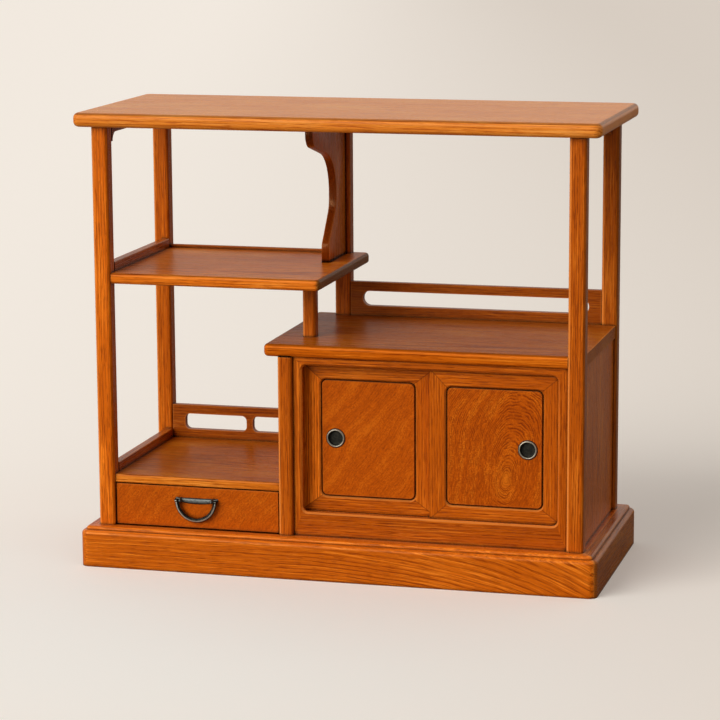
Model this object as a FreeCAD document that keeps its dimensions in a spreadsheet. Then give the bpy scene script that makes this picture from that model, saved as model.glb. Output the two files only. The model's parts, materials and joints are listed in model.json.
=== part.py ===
# A Japanese stepped tea shelf in zelkova: posts, shelves, a cupboard with two sliding doors,
# one drawer and a moulded plinth. Millimetres; X to the right, Y to the back, Z up; the origin
# is on the floor, under the middle of the plinth.
import FreeCAD, Part
import math
import os
import re
import Sketcher

# Driving sizes: name, millimetres, what it measures
SIZES = [
    ("posts_span", 812, "outer face of the left posts to outer face of the right posts"),
    ("posts_reach", 327, "front face of the front posts to back face of the back posts"),
    ("top_thickness", 23, "top board"),
    ("top_side_reach", 26, "top board past the posts at each end"),
    ("top_front_reach", 18, "top board past the posts at the front"),
    ("top_back_reach", 15, "top board past the posts at the back"),
    ("top_corner", 13, "top board's corners, seen from above"),
    ("top_rounding", 8.5, "top board's edges"),
    ("plinth_height", 67, "floor to the posts' feet"),
    ("plinth_side_reach", 26, "plinth past the posts at each end"),
    ("plinth_front_reach", 24, "plinth past the posts at the front"),
    ("plinth_back_reach", 27, "plinth past the posts at the back"),
    ("plinth_thickness", 24, "plinth boards"),
    ("plinth_corner", 14, "plinth's corners, seen from above"),
    ("plinth_ledge_height", 61, "floor to the ledge under the bead"),
    ("plinth_ledge_setback", 8, "bead's side behind the plinth's face"),
    ("plinth_shoulder", 6.5, "rounding between the plinth's face and the ledge"),
    ("plinth_bead", 4.5, "rounding of the bead"),
    ("base_thickness", 18, "board on which the posts stand"),
    ("block_size", 40, "glue blocks along the plinth boards"),
    ("block_height", 34, "glue blocks"),
    ("post_width", 27.5, "corner posts and upper back post, left to right"),
    ("cupboard_post_width", 24, "cupboard posts, left to right"),
    ("post_depth", 27, "posts, front to back"),
    ("post_rounding", 5.5, "posts' long edges"),
    ("tenon_shoulder", 6, "post's face to its tenon's face"),
    ("tenon_length", 9, "tenons of the posts"),
    ("tenon_fit", 0.2, "gap round a tenon"),
    ("middle_post_offset", 310, "left posts' outer face to the cupboard posts"),
    ("back_post_offset", 324.5, "left posts' outer face to the upper back post"),
    ("short_post_size", 22, "short post, both ways"),
    ("short_post_setback", 80, "front posts' face to the short post"),
    ("upper_opening", 239, "upper shelf to the top board"),
    ("upper_thickness", 18, "upper shelf"),
    ("upper_front_setback", 4, "upper shelf behind the posts' front"),
    ("upper_overhang", 28, "upper shelf past the upper back post"),
    ("upper_rounding", 5.5, "upper shelf's edges"),
    ("upper_corner", 9, "upper shelf's corners, seen from above"),
    ("middle_opening", 88, "middle shelf to the upper shelf"),
    ("cupboard_height", 294.5, "posts' feet to the middle shelf"),
    ("middle_thickness", 20.5, "middle shelf"),
    ("middle_front_setback", 2, "middle shelf behind the posts' front"),
    ("middle_overhang", 24, "middle shelf past the cupboard posts"),
    ("middle_rounding", 6.5, "middle shelf's edges"),
    ("middle_corner", 9, "middle shelf's corners, seen from above"),
    ("bay_height", 71, "posts' feet to the lower shelf"),
    ("lower_thickness", 14.5, "lower shelf"),
    ("lower_front_setback", 6, "lower shelf behind the posts' front"),
    ("lower_rounding", 3, "lower shelf's front edges"),
    ("shelf_end_setback", 3, "shelf ends inside the posts' outer faces"),
    ("shelf_back_setback", 2, "shelf backs inside the posts' back faces"),
    ("side_rail_thickness", 14, "rails along the shelves' left ends"),
    ("side_rail_height", 15.5, "the same rails above their shelf"),
    ("lip_height", 5.5, "strip along the upper shelf's back"),
    ("lip_thickness", 8, "the same strip"),
    ("rail_bevel", 1, "upper edges of rails"),
    ("back_rail_setback", 3, "back rails behind the back posts' front"),
    ("back_rail_thickness", 12, "back rails"),
    ("lower_rail_height", 58.5, "lower back rail"),
    ("lower_slot_margin", 23, "post to the first slot of the lower back rail"),
    ("lower_slot_length", 112, "slots of the lower back rail"),
    ("lower_slot_height", 27.5, "slots of the lower back rail"),
    ("lower_slot_web", 11, "wood between the two slots"),
    ("lower_slot_foot", 15.5, "wood under the slots of the lower back rail"),
    ("lower_slot_corner", 9, "corners of the slots of the lower back rail"),
    ("middle_rail_height", 58, "middle back rail"),
    ("middle_slot_margin", 21, "posts to the ends of the long slot"),
    ("middle_slot_height", 25.5, "long slot"),
    ("middle_slot_foot", 17, "wood under the long slot"),
    ("apron_thickness", 14, "aprons under the top board's ends"),
    ("apron_drop", 11.5, "aprons' height between their corners"),
    ("apron_corner", 14.5, "inner rounding of the aprons"),
    ("apron_ear", 2, "least width of the aprons down the posts"),
    ("scroll_thickness", 13, "scroll panel"),
    ("scroll_reach", 203, "upper back post to the scroll's nose"),
    ("scroll_bevel", 1.5, "edges of the scroll panel"),
    ("panel_thickness", 10, "side panels of the cupboard and the drawer bay"),
    ("panel_inset", 6, "side panels inside the posts' outer faces"),
    ("partition_thickness", 12, "partition between drawer bay and cupboard"),
    ("back_thickness", 5, "back panels"),
    ("frame_setback", 8, "face frame behind the posts' front"),
    ("frame_thickness", 8, "face frame"),
    ("frame_left", 14.5, "face frame's left stile"),
    ("frame_right", 16, "face frame's right stile"),
    ("frame_top", 12.5, "face frame's top rail"),
    ("frame_bottom", 39, "face frame's bottom rail"),
    ("frame_corner", 9, "inner corners of the face frame"),
    ("frame_bevel", 3, "inner front edge of the face frame"),
    ("door_thickness", 14, "doors"),
    ("door_play", 1, "face frame to the front door"),
    ("door_spacing", 1.5, "front door to rear door"),
    ("door_cover", 8, "doors behind the face frame's stiles"),
    ("door_overlap", 8, "rear door behind the front door"),
    ("door_rise", 2, "doors above the frame's opening"),
    ("door_sink", 2, "doors below the frame's opening"),
    ("door_stile", 25, "doors' outer stiles that show"),
    ("door_meeting_stile", 27, "front door's inner stile"),
    ("door_top_rail", 28, "doors' top rails"),
    ("door_bottom_rail", 25, "doors' bottom rails"),
    ("door_corner", 10, "inner corners of the door frames"),
    ("door_bevel", 2.6, "inner front edges of the door frames"),
    ("field_gap", 1.8, "gap round the raised field of a door panel"),
    ("field_rise", 4, "raised field above the panel's sheet"),
    ("field_setback", 0.8, "raised field behind the door frame's face"),
    ("field_bevel", 1.2, "edges of the raised field"),
    ("sheet_thickness", 5, "door panel's sheet"),
    ("sheet_tongue", 5, "door panel's sheet inside the frame"),
    ("sheet_fit", 0.2, "gap round the door panel's sheet"),
    ("tongue_thickness", 6, "tongues on which the doors slide"),
    ("lower_tongue", 3.5, "lower tongues"),
    ("upper_tongue", 5, "upper tongues"),
    ("track_fit", 0.3, "gap round the tongues and under the doors"),
    ("track_depth", 34, "door tracks, front to back"),
    ("floor_thickness", 10, "cupboard floor"),
    ("floor_drop", 2, "cupboard floor under the lower track's top"),
    ("pull_radius", 16, "round pulls"),
    ("pull_flange", 2, "ring of a round pull"),
    ("pull_cup_radius", 12.4, "outside of the pull's cup"),
    ("pull_hollow_radius", 11.6, "inside of the pull's cup"),
    ("pull_cup_depth", 6, "cup behind the ring"),
    ("pull_cup_floor", 0.8, "bottom of the cup"),
    ("pull_fit", 0.2, "gap round the cup"),
    ("pull_inset", 23, "pull's centre inside the panel's outer edge"),
    ("drawer_setback", 6, "drawer front behind the posts' front"),
    ("drawer_gap", 1, "gap round the drawer front"),
    ("drawer_front_thickness", 16, "drawer front"),
    ("drawer_front_bevel", 1.2, "edges of the drawer front"),
    ("drawer_side_thickness", 9, "drawer's sides and back"),
    ("drawer_headroom", 14.7, "drawer's sides to the lower shelf"),
    ("drawer_rest", 0.3, "drawer above the base board"),
    ("drawer_back_gap", 17, "drawer's back to the bay's back"),
    ("drawer_floor_thickness", 4, "drawer's bottom"),
    ("drawer_floor_rise", 7, "drawer's bottom above its lower edge"),
    ("drawer_floor_tongue", 4, "drawer's bottom inside its grooves"),
    ("drawer_floor_fit", 0.1, "gap round the drawer's bottom"),
    ("guide_height", 14, "drawer guides"),
    ("guide_gap", 0.6, "drawer's sides to the guides"),
    ("plate_length", 72, "drawer pull's plate"),
    ("plate_height", 10, "the plate at its middle"),
    ("plate_end", 4, "the plate at its ends"),
    ("plate_thickness", 2, "drawer pull's plate"),
    ("plate_drop", 18, "drawer front's upper edge down to the plate"),
    ("bail_radius", 31.2, "middle of the bail's bar"),
    ("bail_bar", 6.4, "the bail's bar, seen from the front"),
    ("bail_depth", 4.6, "the bail's bar, front to back"),
    ("bail_eye", 3, "radius of the bail's ends"),
    ("bail_eye_side", 0.2, "the bail's ends past the sides of its bar"),
    ("bail_drop", 3.5, "plate's top to the bail's axis"),
    ("bail_reach", 5, "plate's face to the bail's axis"),
    ("pin_radius", 1.5, "bail's pins"),
    ("pin_fit", 0.08, "running gap round a pin"),
    ("pin_end", 0.6, "pins past the lugs"),
    ("lug_thickness", 3, "lugs of the plate"),
    ("lug_gap", 0.5, "bail's eye to a lug"),
    ("lug_radius", 3.2, "lugs' rounded ends"),
    ("overrun", 5, "how far a cut runs past the wood"),
]

# Places worked out from the sizes: name, formula
PLACES = [
    ("left", "-posts_span / 2"),
    ("right", "posts_span / 2"),
    ("depth", "plinth_front_reach + posts_reach + plinth_back_reach"),
    ("front", "plinth_front_reach - depth / 2"),
    ("back", "front + posts_reach"),
    ("inner_left", "left + post_width"),
    ("inner_right", "right - post_width"),
    ("inner_front", "front + post_depth"),
    ("inner_back", "back - post_depth"),
    ("middle_left", "left + middle_post_offset"),
    ("middle_right", "middle_left + cupboard_post_width"),
    ("back_left", "left + back_post_offset"),
    ("back_right", "back_left + post_width"),
    ("short_left", "back_right - short_post_size"),
    ("short_front", "front + short_post_setback"),
    ("lower_underside", "plinth_height + bay_height"),
    ("lower_level", "lower_underside + lower_thickness"),
    ("middle_underside", "plinth_height + cupboard_height"),
    ("middle_level", "middle_underside + middle_thickness"),
    ("upper_underside", "middle_level + middle_opening"),
    ("upper_level", "upper_underside + upper_thickness"),
    ("top_underside", "upper_level + upper_opening"),
    ("total_height", "top_underside + top_thickness"),
    ("rail_front", "inner_back + back_rail_setback"),
    ("rail_back", "rail_front + back_rail_thickness"),
    ("partition_left", "(middle_left + middle_right - partition_thickness) / 2"),
    ("partition_right", "partition_left + partition_thickness"),
    ("bay_left", "left + panel_inset + panel_thickness"),
    ("cupboard_right", "right - panel_inset - panel_thickness"),
    ("frame_front", "front + frame_setback"),
    ("frame_back", "frame_front + frame_thickness"),
    ("opening_left", "middle_right + frame_left"),
    ("opening_right", "inner_right - frame_right"),
    ("opening_bottom", "plinth_height + frame_bottom"),
    ("opening_top", "middle_underside - frame_top"),
    ("meeting_line", "(opening_left + opening_right) / 2"),
    ("door_bottom", "opening_bottom - door_sink"),
    ("door_top", "opening_top + door_rise"),
    ("front_door", "frame_back + door_play"),
    ("rear_door", "front_door + door_thickness + door_spacing"),
    ("track_back", "frame_back + track_depth"),
    ("lower_track_top", "door_bottom - track_fit"),
    ("upper_track_bottom", "door_top + track_fit"),
    ("drawer_left", "inner_left + drawer_gap"),
    ("drawer_right", "middle_left - drawer_gap"),
    ("drawer_front_face", "front + drawer_setback"),
    ("drawer_box_front", "drawer_front_face + drawer_front_thickness"),
    ("drawer_box_back", "inner_back - drawer_back_gap"),
    ("drawer_bottom_edge", "plinth_height + drawer_rest"),
    ("pull_middle", "(drawer_left + drawer_right) / 2"),
    ("plate_top", "lower_underside - drawer_gap - plate_drop"),
    ("bail_axis_height", "plate_top - bail_drop"),
    ("plate_front", "drawer_front_face - plate_thickness"),
    ("bail_axis_front", "plate_front - bail_reach"),
]

# The bends of the scroll panel from its nose down: shares of its reach and of its height, and the
# bend's radius as a share of its height
SCROLL_BEND_SHARES = [
    (0.015, 0.852, 0.1),
    (0.7, 0.708, 0.3),
    (0.7, 0.37, 0.17),
    (0.467, 0.125, 0.055),
]

# How far in the mitre of a frame's member runs, as a share of the member's width: past the
# frame's rounded corner
MITRE_SHARE = 1.5

# Two heights or places this near count as one
NEAR = 0.001

# Which way an arc of an outline bends
HOLLOW = 1
BULGE = -1

doc = FreeCAD.newDocument("tea_shelf")

sheet = doc.addObject("Spreadsheet::Sheet", "sizes")
for row, (name, size, meaning) in enumerate(SIZES, start=1):
    sheet.set("A%d" % row, name)
    sheet.set("B%d" % row, str(size))
    sheet.set("C%d" % row, meaning)
    sheet.setAlias("B%d" % row, name)
doc.recompute()

size_names = {name for name, size, meaning in SIZES}
place_names = {name for name, text in PLACES}


def formula(text):
    """A formula in plain names, as the document's expressions write it."""
    def full(match):
        word = match.group(0)
        if word in size_names:
            return "sizes." + word
        if word in place_names:
            return "places." + word
        return word
    return re.sub(r"[a-z_]+", full, text)


places = doc.addObject("App::VarSet", "places")
for name, text in PLACES:
    places.addProperty("App::PropertyFloat", name)
    places.setExpression(name, formula(text))
doc.recompute()

scratch = doc.addObject("App::VarSet", "scratch")
scratch.addProperty("App::PropertyFloat", "answer")

pieces = {}


def number(text):
    """What a formula comes to in this document."""
    scratch.setExpression("answer", formula(text))
    scratch.recompute()
    return scratch.answer


def span(pair):
    return "(%s) - (%s)" % (pair[1], pair[0])


def bind(thing, **texts):
    for name, text in texts.items():
        thing.setExpression(name, formula(text))


def place(thing, x, y, z):
    for axis, text in zip("xyz", (x, y, z)):
        thing.setExpression("Placement.Base." + axis, formula(text))


def new_body(label):
    body = doc.addObject("PartDesign::Body", label)
    pieces[label] = body
    return body


# Sketches stand on a body's own planes; at is the sketch's corner in the body
def sketch_on(body, role, at):
    sketch = body.newObject("Sketcher::SketchObject", body.Name + "_sketch")
    plane = next(f for f in body.Origin.OriginFeatures if f.Role == role)
    sketch.AttachmentSupport = (plane, [""])
    sketch.MapMode = "FlatFace"
    x, y, z = at
    turned = {"XY_Plane": (x, y, z), "XZ_Plane": (x, z, "-(%s)" % y), "YZ_Plane": (y, z, x)}
    for axis, text in zip("xyz", turned[role]):
        sketch.setExpression("AttachmentOffset.Base." + axis, formula(text))
    return sketch


def hold(sketch, kind, *where, text):
    """A dimension of a sketch, tied to a formula."""
    index = sketch.addConstraint(Sketcher.Constraint(kind, *where, number(text)))
    sketch.setExpression("Constraints[%d]" % index, formula(text))


def outline(sketch, corners):
    """A closed outline: each corner is (x, y), or (x, y, radius, side) where an arc follows;
    side is 1 for a hollow and -1 for a bulge, going round to the left."""
    spots = [FreeCAD.Vector(number(c[0]), number(c[1]), 0) for c in corners]
    ends = []
    for i, corner in enumerate(corners):
        start = spots[i]
        end = spots[(i + 1) % len(corners)]
        ends.append((1, 2))
        edge = Part.LineSegment(start, end)
        if len(corner) > 2:
            radius = number(corner[2])
            half = (end - start) / 2
            across = FreeCAD.Vector(-half.y, half.x, 0).normalize() * corner[3]
            middle = start + half + across * (radius - math.sqrt(radius ** 2 - half.Length ** 2))
            if corner[3] == HOLLOW:
                edge = Part.Arc(end, middle, start)
                ends[i] = (2, 1)
            else:
                edge = Part.Arc(start, middle, end)
        sketch.addGeometry(edge, False)
    for i, corner in enumerate(corners):
        after = (i + 1) % len(corners)
        sketch.addConstraint(Sketcher.Constraint("Coincident", i, ends[i][1], after, ends[after][0]))
        for kind, axis, text in (("DistanceX", -2, corner[0]), ("DistanceY", -1, corner[1])):
            if text == "0":
                sketch.addConstraint(Sketcher.Constraint("PointOnObject", i, ends[i][0], axis))
            else:
                hold(sketch, kind, -1, 1, i, ends[i][0], text=text)
        if len(corner) > 2:
            hold(sketch, "Radius", i, text=corner[2])


def rectangle(sketch, width, height):
    outline(sketch, [("0", "0"), (width, "0"), (width, height), ("0", height)])


def disc(sketch, radius):
    sketch.addGeometry(Part.Circle(FreeCAD.Vector(), FreeCAD.Vector(0, 0, 1), number(radius)), False)
    sketch.addConstraint(Sketcher.Constraint("Coincident", 0, 3, -1, 1))
    hold(sketch, "Radius", 0, text=radius)


# Pads and pockets run from their sketch towards +X, +Y or +Z
def pad(body, role, at, length, draw, *sizes):
    sketch = sketch_on(body, role, at)
    draw(sketch, *sizes)
    feature = body.newObject("PartDesign::Pad", body.Name + "_pad")
    feature.Profile = sketch
    feature.Reversed = role == "XZ_Plane"
    bind(feature, Length=length)
    doc.recompute()
    return feature


def pocket(body, role, at, length, draw, *sizes):
    before = body.Shape.Volume
    sketch = sketch_on(body, role, at)
    draw(sketch, *sizes)
    feature = body.newObject("PartDesign::Pocket", body.Name + "_pocket")
    feature.Profile = sketch
    feature.Reversed = role != "XZ_Plane"
    bind(feature, Length=length)
    doc.recompute()
    if not body.Shape.Volume < before:
        raise RuntimeError("a pocket of %s cuts nothing" % body.Label)
    return feature


def ease_edges(body, kind, size, chosen):
    """Eases the edges of a body for which chosen(edge, body's box) is true."""
    base = body.Tip
    box = base.Shape.BoundBox
    names = ["Edge%d" % n for n, edge in enumerate(base.Shape.Edges, start=1) if chosen(edge, box)]
    feature = body.newObject("PartDesign::" + kind, body.Name + "_" + kind.lower())
    feature.Base = (base, names)
    bind(feature, **{"Radius" if kind == "Fillet" else "Size": size})
    doc.recompute()
    return feature


def round_edges(body, radius, chosen):
    return ease_edges(body, "Fillet", radius, chosen)


def bevel_edges(body, width, chosen):
    return ease_edges(body, "Chamfer", width, chosen)


def near(a, b):
    return abs(a - b) < NEAR


def upright(edge, box):
    return near(edge.BoundBox.XLength, 0) and near(edge.BoundBox.YLength, 0)


def level(edge, height):
    return near(edge.BoundBox.ZMin, height) and near(edge.BoundBox.ZMax, height)


def board(label, x, y, z, ease=None, size=None, chosen=None):
    """A squared piece between two places along each axis; ease rounds or bevels chosen edges."""
    body = new_body(label)
    pad(body, "XY_Plane", ("0", "0", "0"), span(z), rectangle, span(x), span(y))
    if ease:
        ease(body, size, chosen)
    place(body, x[0], y[0], z[0])
    return body


def rounded_board(label, x, y, z, corner, rounding, is_corner, is_square):
    """A board with rounded corners and edges; is_square tells which edges stay square."""
    body = board(label, x, y, z)
    round_edges(body, corner, lambda e, box: upright(e, box) and is_corner(e, box))
    round_edges(body, rounding,
                lambda e, box: (level(e, box.ZMin) or level(e, box.ZMax)) and not is_square(e, box))
    return body


# Posts: the shaft between its shoulders, with a tenon at each end that has a mortise
POST_ENDS = {}


def post(label, x, y, z, joints):
    """joints names the boards into which the foot and the head are let."""
    body = board(label, x, y, z, round_edges, "post_rounding", upright)
    tenon = ("%s - 2 * tenon_shoulder" % span(x), "%s - 2 * tenon_shoulder" % span(y))
    inset = ("tenon_shoulder", "tenon_shoulder")
    for board_label, start in ((joints[0], "-tenon_length"), (joints[1], span(z))):
        if board_label:
            pad(body, "XY_Plane", inset + (start,), "tenon_length", rectangle, *tenon)
            POST_ENDS.setdefault(board_label, []).append((x, y, z, start))


def mortises(body, x, y, z):
    """Cuts the mortises of the posts that are let into a board, whose corner is x, y, z."""
    for post_x, post_y, post_z, start in POST_ENDS[body.Label]:
        at = tuple("(%s) - (%s) + tenon_shoulder - tenon_fit" % (a, b)
                   for a, b in ((post_x[0], x), (post_y[0], y)))
        foot = "(%s) - (%s) + (%s)" % (post_z[0], z, start)
        if start == "-tenon_length":
            foot += " - tenon_fit"
        sides = ("%s - 2 * tenon_shoulder + 2 * tenon_fit" % span(s) for s in (post_x, post_y))
        pocket(body, "XY_Plane", at + (foot,), "tenon_length + tenon_fit", rectangle, *sides)


def notch(body, x, y, corner):
    """Cuts a shelf away round a post; corner is the shelf body's own corner."""
    at = ("(%s) - (%s)" % (x[0], corner[0]), "(%s) - (%s)" % (y[0], corner[1]), "-overrun")
    pocket(body, "XY_Plane", at, "total_height", rectangle, span(x), span(y))


def build_posts():
    left = ("left", "inner_left")
    right = ("inner_right", "right")
    middle = ("middle_left", "middle_right")
    front = ("front", "inner_front")
    back = ("inner_back", "back")
    tall = ("plinth_height", "top_underside")
    cupboard = ("plinth_height", "middle_underside")
    post("post_front_left", left, front, tall, ("base_board", "top_board"))
    post("post_back_left", left, back, tall, ("base_board", "top_board"))
    post("post_front_right", right, front, tall, ("base_board", "top_board"))
    post("post_back_right", right, back, tall, ("base_board", "top_board"))
    post("post_front_middle", middle, front, cupboard, ("base_board", "middle_shelf"))
    post("post_back_lower", middle, back, cupboard, ("base_board", "middle_shelf"))
    post("post_back_middle", ("back_left", "back_right"), back, ("middle_level", "top_underside"),
         ("middle_shelf", "top_board"))
    post("post_short", ("short_left", "back_right"),
         ("short_front", "short_front + short_post_size"), ("middle_level", "upper_underside"),
         ("middle_shelf", "upper_shelf"))


def build_top():
    x = ("left - top_side_reach", "right + top_side_reach")
    y = ("front - top_front_reach", "back + top_back_reach")
    z = ("top_underside", "total_height")
    body = rounded_board("top_board", x, y, z, "top_corner", "top_rounding",
                         lambda e, box: True, lambda e, box: False)
    mortises(body, x[0], y[0], z[0])


def build_upper_shelf():
    x = ("left + shelf_end_setback", "back_right + upper_overhang")
    y = ("front + upper_front_setback", "back - shelf_back_setback")
    z = ("upper_underside", "upper_level")
    body = rounded_board("upper_shelf", x, y, z, "upper_corner", "upper_rounding",
                         lambda e, box: near(e.BoundBox.XMax, box.XMax),
                         lambda e, box: near(e.BoundBox.XMax, box.XMin))
    corner = (x[0], y[0])
    front = ("front - overrun", "inner_front")
    back = ("inner_back", "back + overrun")
    notch(body, ("left - overrun", "inner_left"), front, corner)
    notch(body, ("left - overrun", "inner_left"), back, corner)
    notch(body, ("back_left", "back_right"), back, corner)
    mortises(body, x[0], y[0], z[0])


def build_middle_shelf():
    x = ("middle_left - middle_overhang", "right - shelf_end_setback")
    y = ("front + middle_front_setback", "back - shelf_back_setback")
    z = ("middle_underside", "middle_level")
    body = rounded_board("middle_shelf", x, y, z, "middle_corner", "middle_rounding",
                         lambda e, box: near(e.BoundBox.XMin, box.XMin),
                         lambda e, box: near(e.BoundBox.XMin, box.XMax))
    corner = (x[0], y[0])
    notch(body, ("inner_right", "right + overrun"), ("front - overrun", "inner_front"), corner)
    notch(body, ("inner_right", "right + overrun"), ("inner_back", "back + overrun"), corner)
    mortises(body, x[0], y[0], z[0])


def build_lower_shelf():
    x = ("left + shelf_end_setback", "partition_left")
    y = ("front + lower_front_setback", "back - shelf_back_setback")
    body = board("lower_shelf", x, y, ("lower_underside", "lower_level"), round_edges, "lower_rounding",
                 lambda e, box: near(e.BoundBox.YMax, box.YMin) and not upright(e, box))
    corner = (x[0], y[0])
    for side in (("left - overrun", "inner_left"), ("middle_left", "middle_right")):
        notch(body, side, ("front - overrun", "inner_front"), corner)
        notch(body, side, ("inner_back", "back + overrun"), corner)


def build_shelf_rails():
    def over(e, box):
        return level(e, box.ZMax) and near(e.BoundBox.YLength, box.YLength)

    def above(e, box):
        return level(e, box.ZMax) and near(e.BoundBox.XLength, box.XLength)

    side = ("inner_left - side_rail_thickness", "inner_left")
    for label, shelf in (("upper_side_rail", "upper_level"), ("lower_side_rail", "lower_level")):
        board(label, side, ("inner_front", "inner_back"), (shelf, shelf + " + side_rail_height"),
              bevel_edges, "rail_bevel", over)
    board("upper_back_rail", ("inner_left", "back_left"), ("rail_front", "rail_front + lip_thickness"),
          ("upper_level", "upper_level + lip_height"), bevel_edges, "rail_bevel", above)

    lower = board("lower_back_rail", ("inner_left", "middle_left"), ("rail_front", "rail_back"),
                  ("lower_level", "lower_level + lower_rail_height"), bevel_edges, "rail_bevel",
                  above)
    second = "lower_slot_margin + lower_slot_length + lower_slot_web"
    for start in ("lower_slot_margin", second):
        pocket(lower, "XZ_Plane", (start, "-overrun", "lower_slot_foot"),
               "rail_back - rail_front + 2 * overrun",
               rounded_rectangle, "lower_slot_length", "lower_slot_height", "lower_slot_corner")

    middle = board("middle_back_rail", ("back_right", "inner_right"), ("rail_front", "rail_back"),
                   ("middle_level", "middle_level + middle_rail_height"), bevel_edges,
                   "rail_bevel", above)
    pocket(middle, "XZ_Plane", ("middle_slot_margin", "-overrun", "middle_slot_foot"),
           "rail_back - rail_front + 2 * overrun", stadium,
           "inner_right - back_right - 2 * middle_slot_margin", "middle_slot_height")


def rounded_rectangle(sketch, width, height, radius):
    """Corners in turn, each rounded by a quarter circle."""
    w, h, r = "(%s)" % width, "(%s)" % height, "(%s)" % radius
    outline(sketch, [(r, "0"), ("%s - %s" % (w, r), "0", radius, BULGE),
                     (w, r), (w, "%s - %s" % (h, r), radius, BULGE),
                     ("%s - %s" % (w, r), h), (r, h, radius, BULGE),
                     ("0", "%s - %s" % (h, r)), ("0", r, radius, BULGE)])


def stadium(sketch, length, height):
    """A slot with half-round ends, each end made of two quarter circles."""
    w, h, r = "(%s)" % length, "(%s)" % height, "(%s) / 2" % height
    outline(sketch, [(r, "0"), ("%s - %s" % (w, r), "0", r, BULGE), (w, r, r, BULGE),
                     ("%s - %s" % (w, r), h), (r, h, r, BULGE), ("0", r, r, BULGE)])


def build_aprons():
    length = "inner_back - inner_front"
    height = "apron_drop + apron_corner"
    near_end = "apron_ear + apron_corner"
    for label, x in (("apron_left", "inner_left - apron_thickness"), ("apron_right", "inner_right")):
        body = new_body(label)
        corners = [("0", "0"), ("apron_ear", "0", "apron_corner", HOLLOW), (near_end, "apron_corner"),
                   ("%s - %s" % (length, "(%s)" % near_end), "apron_corner", "apron_corner", HOLLOW),
                   ("%s - apron_ear" % length, "0"), (length, "0"), (length, height), ("0", height)]
        pad(body, "YZ_Plane", ("0", "0", "0"), "apron_thickness", outline, corners)
        place(body, x, "inner_front", "top_underside - apron_drop - apron_corner")


def build_scroll_panel():
    """The bracket's outline, from its nose round the large hollow and the waist to its foot."""
    height = "(top_underside - upper_level)"
    bends = [tuple("%s * %s" % (size, share) for size, share in
                   zip(("scroll_reach", height, height), shares)) for shares in SCROLL_BEND_SHARES]
    foot = bends[-1][0]
    corners = [("0", height)] + [bend[:2] for bend in bends]
    corners += [(foot, "0"), ("scroll_reach", "0"), ("scroll_reach", height)]
    body = new_body("scroll_panel")
    pad(body, "YZ_Plane", ("0", "0", "0"), "scroll_thickness", outline, corners)
    for y, z, radius in bends:
        spot = (number(y), number(z))
        round_edges(body, radius, lambda e, box: near(e.BoundBox.YLength, 0)
                    and near(e.BoundBox.YMin, spot[0]) and level(e, spot[1]))

    def is_front(e, box):
        flat = near(e.BoundBox.XLength, 0)
        straight_back = near(e.BoundBox.YMin, box.YMax)
        return flat and not straight_back and not level(e, box.ZMin) and not level(e, box.ZMax)

    bevel_edges(body, "scroll_bevel", is_front)
    place(body, "(back_left + back_right - scroll_thickness) / 2", "inner_back - scroll_reach",
          "upper_level")


def build_carcass():
    cupboard = ("plinth_height", "middle_underside")
    bay = ("plinth_height", "lower_underside")
    sides = ("inner_front", "inner_back")
    backs = ("inner_back", "inner_back + back_thickness")
    board("side_panel_right", ("cupboard_right", "right - panel_inset"), sides, cupboard)
    board("partition", ("partition_left", "partition_right"), sides, cupboard)
    board("cupboard_back", ("middle_right", "inner_right"), backs, cupboard)
    board("cupboard_floor", ("partition_right", "cupboard_right"), ("track_back", "inner_back"),
          ("lower_track_top - floor_drop - floor_thickness", "lower_track_top - floor_drop"))
    board("drawer_bay_side", ("left + panel_inset", "bay_left"), sides, bay)
    board("drawer_bay_back", ("inner_left", "middle_left"), backs, bay)

    guides = new_body("drawer_guides")
    width = "drawer_left - guide_gap - bay_left"
    pad(guides, "XY_Plane", ("0", "0", "0"), "guide_height", rectangle, width,
        "inner_back - inner_front")
    far_start = "drawer_right + guide_gap - bay_left"
    pad(guides, "XY_Plane", (far_start, "0", "0"), "guide_height", rectangle,
        "partition_left - drawer_right - guide_gap", "inner_back - inner_front")
    place(guides, "bay_left", "inner_front", "plinth_height")


# A turn that carries a wedge's own Y, along which it narrows, to another axis
NARROWS_ALONG = {
    "y": FreeCAD.Rotation(),
    "x_flat": FreeCAD.Rotation(FreeCAD.Vector(1, 1, 0), 180),
    "z": FreeCAD.Rotation(FreeCAD.Vector(1, 0, 0), 90),
    "x_upright": FreeCAD.Rotation(FreeCAD.Vector(1, 1, 1), 240),
}


def mitred(label, ring, along, taper, first, second, deep):
    """One member of a ring: the part inside a wedge that is first wide at taper's start and
    second wide at its end, between the two values of deep."""
    wedge = doc.addObject("Part::Wedge", label + "_wedge")
    bind(wedge, Ymin=taper[0], Ymax=taper[1], Xmin=first[0], Xmax=first[1], X2min=second[0],
         X2max=second[1], Zmin=deep[0], Z2min=deep[0], Zmax=deep[1], Z2max=deep[1])
    wedge.Placement = FreeCAD.Placement(FreeCAD.Vector(), NARROWS_ALONG[along])
    member = doc.addObject("Part::Common", label)
    member.Base = ring
    member.Tool = wedge
    pieces[label] = member
    return member


def ring_members(labels, ring, x, z, widths, deep):
    """Cuts an upright ring into its left, right, bottom and top members, mitred at the corners."""
    left, right, bottom, top = ["(%s) * %s" % (width, MITRE_SHARE) for width in widths]
    inner_x = ("(%s) + %s" % (x[0], left), "(%s) - %s" % (x[1], right))
    inner_z = ("(%s) + %s" % (z[0], bottom), "(%s) - %s" % (z[1], top))
    behind = ("-(%s) - overrun" % deep[1], "-(%s) + overrun" % deep[0])
    between = ("(%s) - overrun" % deep[0], "(%s) + overrun" % deep[1])
    return [mitred(labels[0], ring, "x_upright", (x[0], inner_x[0]), z, inner_z, between),
            mitred(labels[1], ring, "x_upright", (inner_x[1], x[1]), inner_z, z, between),
            mitred(labels[2], ring, "z", (z[0], inner_z[0]), x, inner_x, behind),
            mitred(labels[3], ring, "z", (inner_z[1], z[1]), inner_x, x, behind)]


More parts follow.
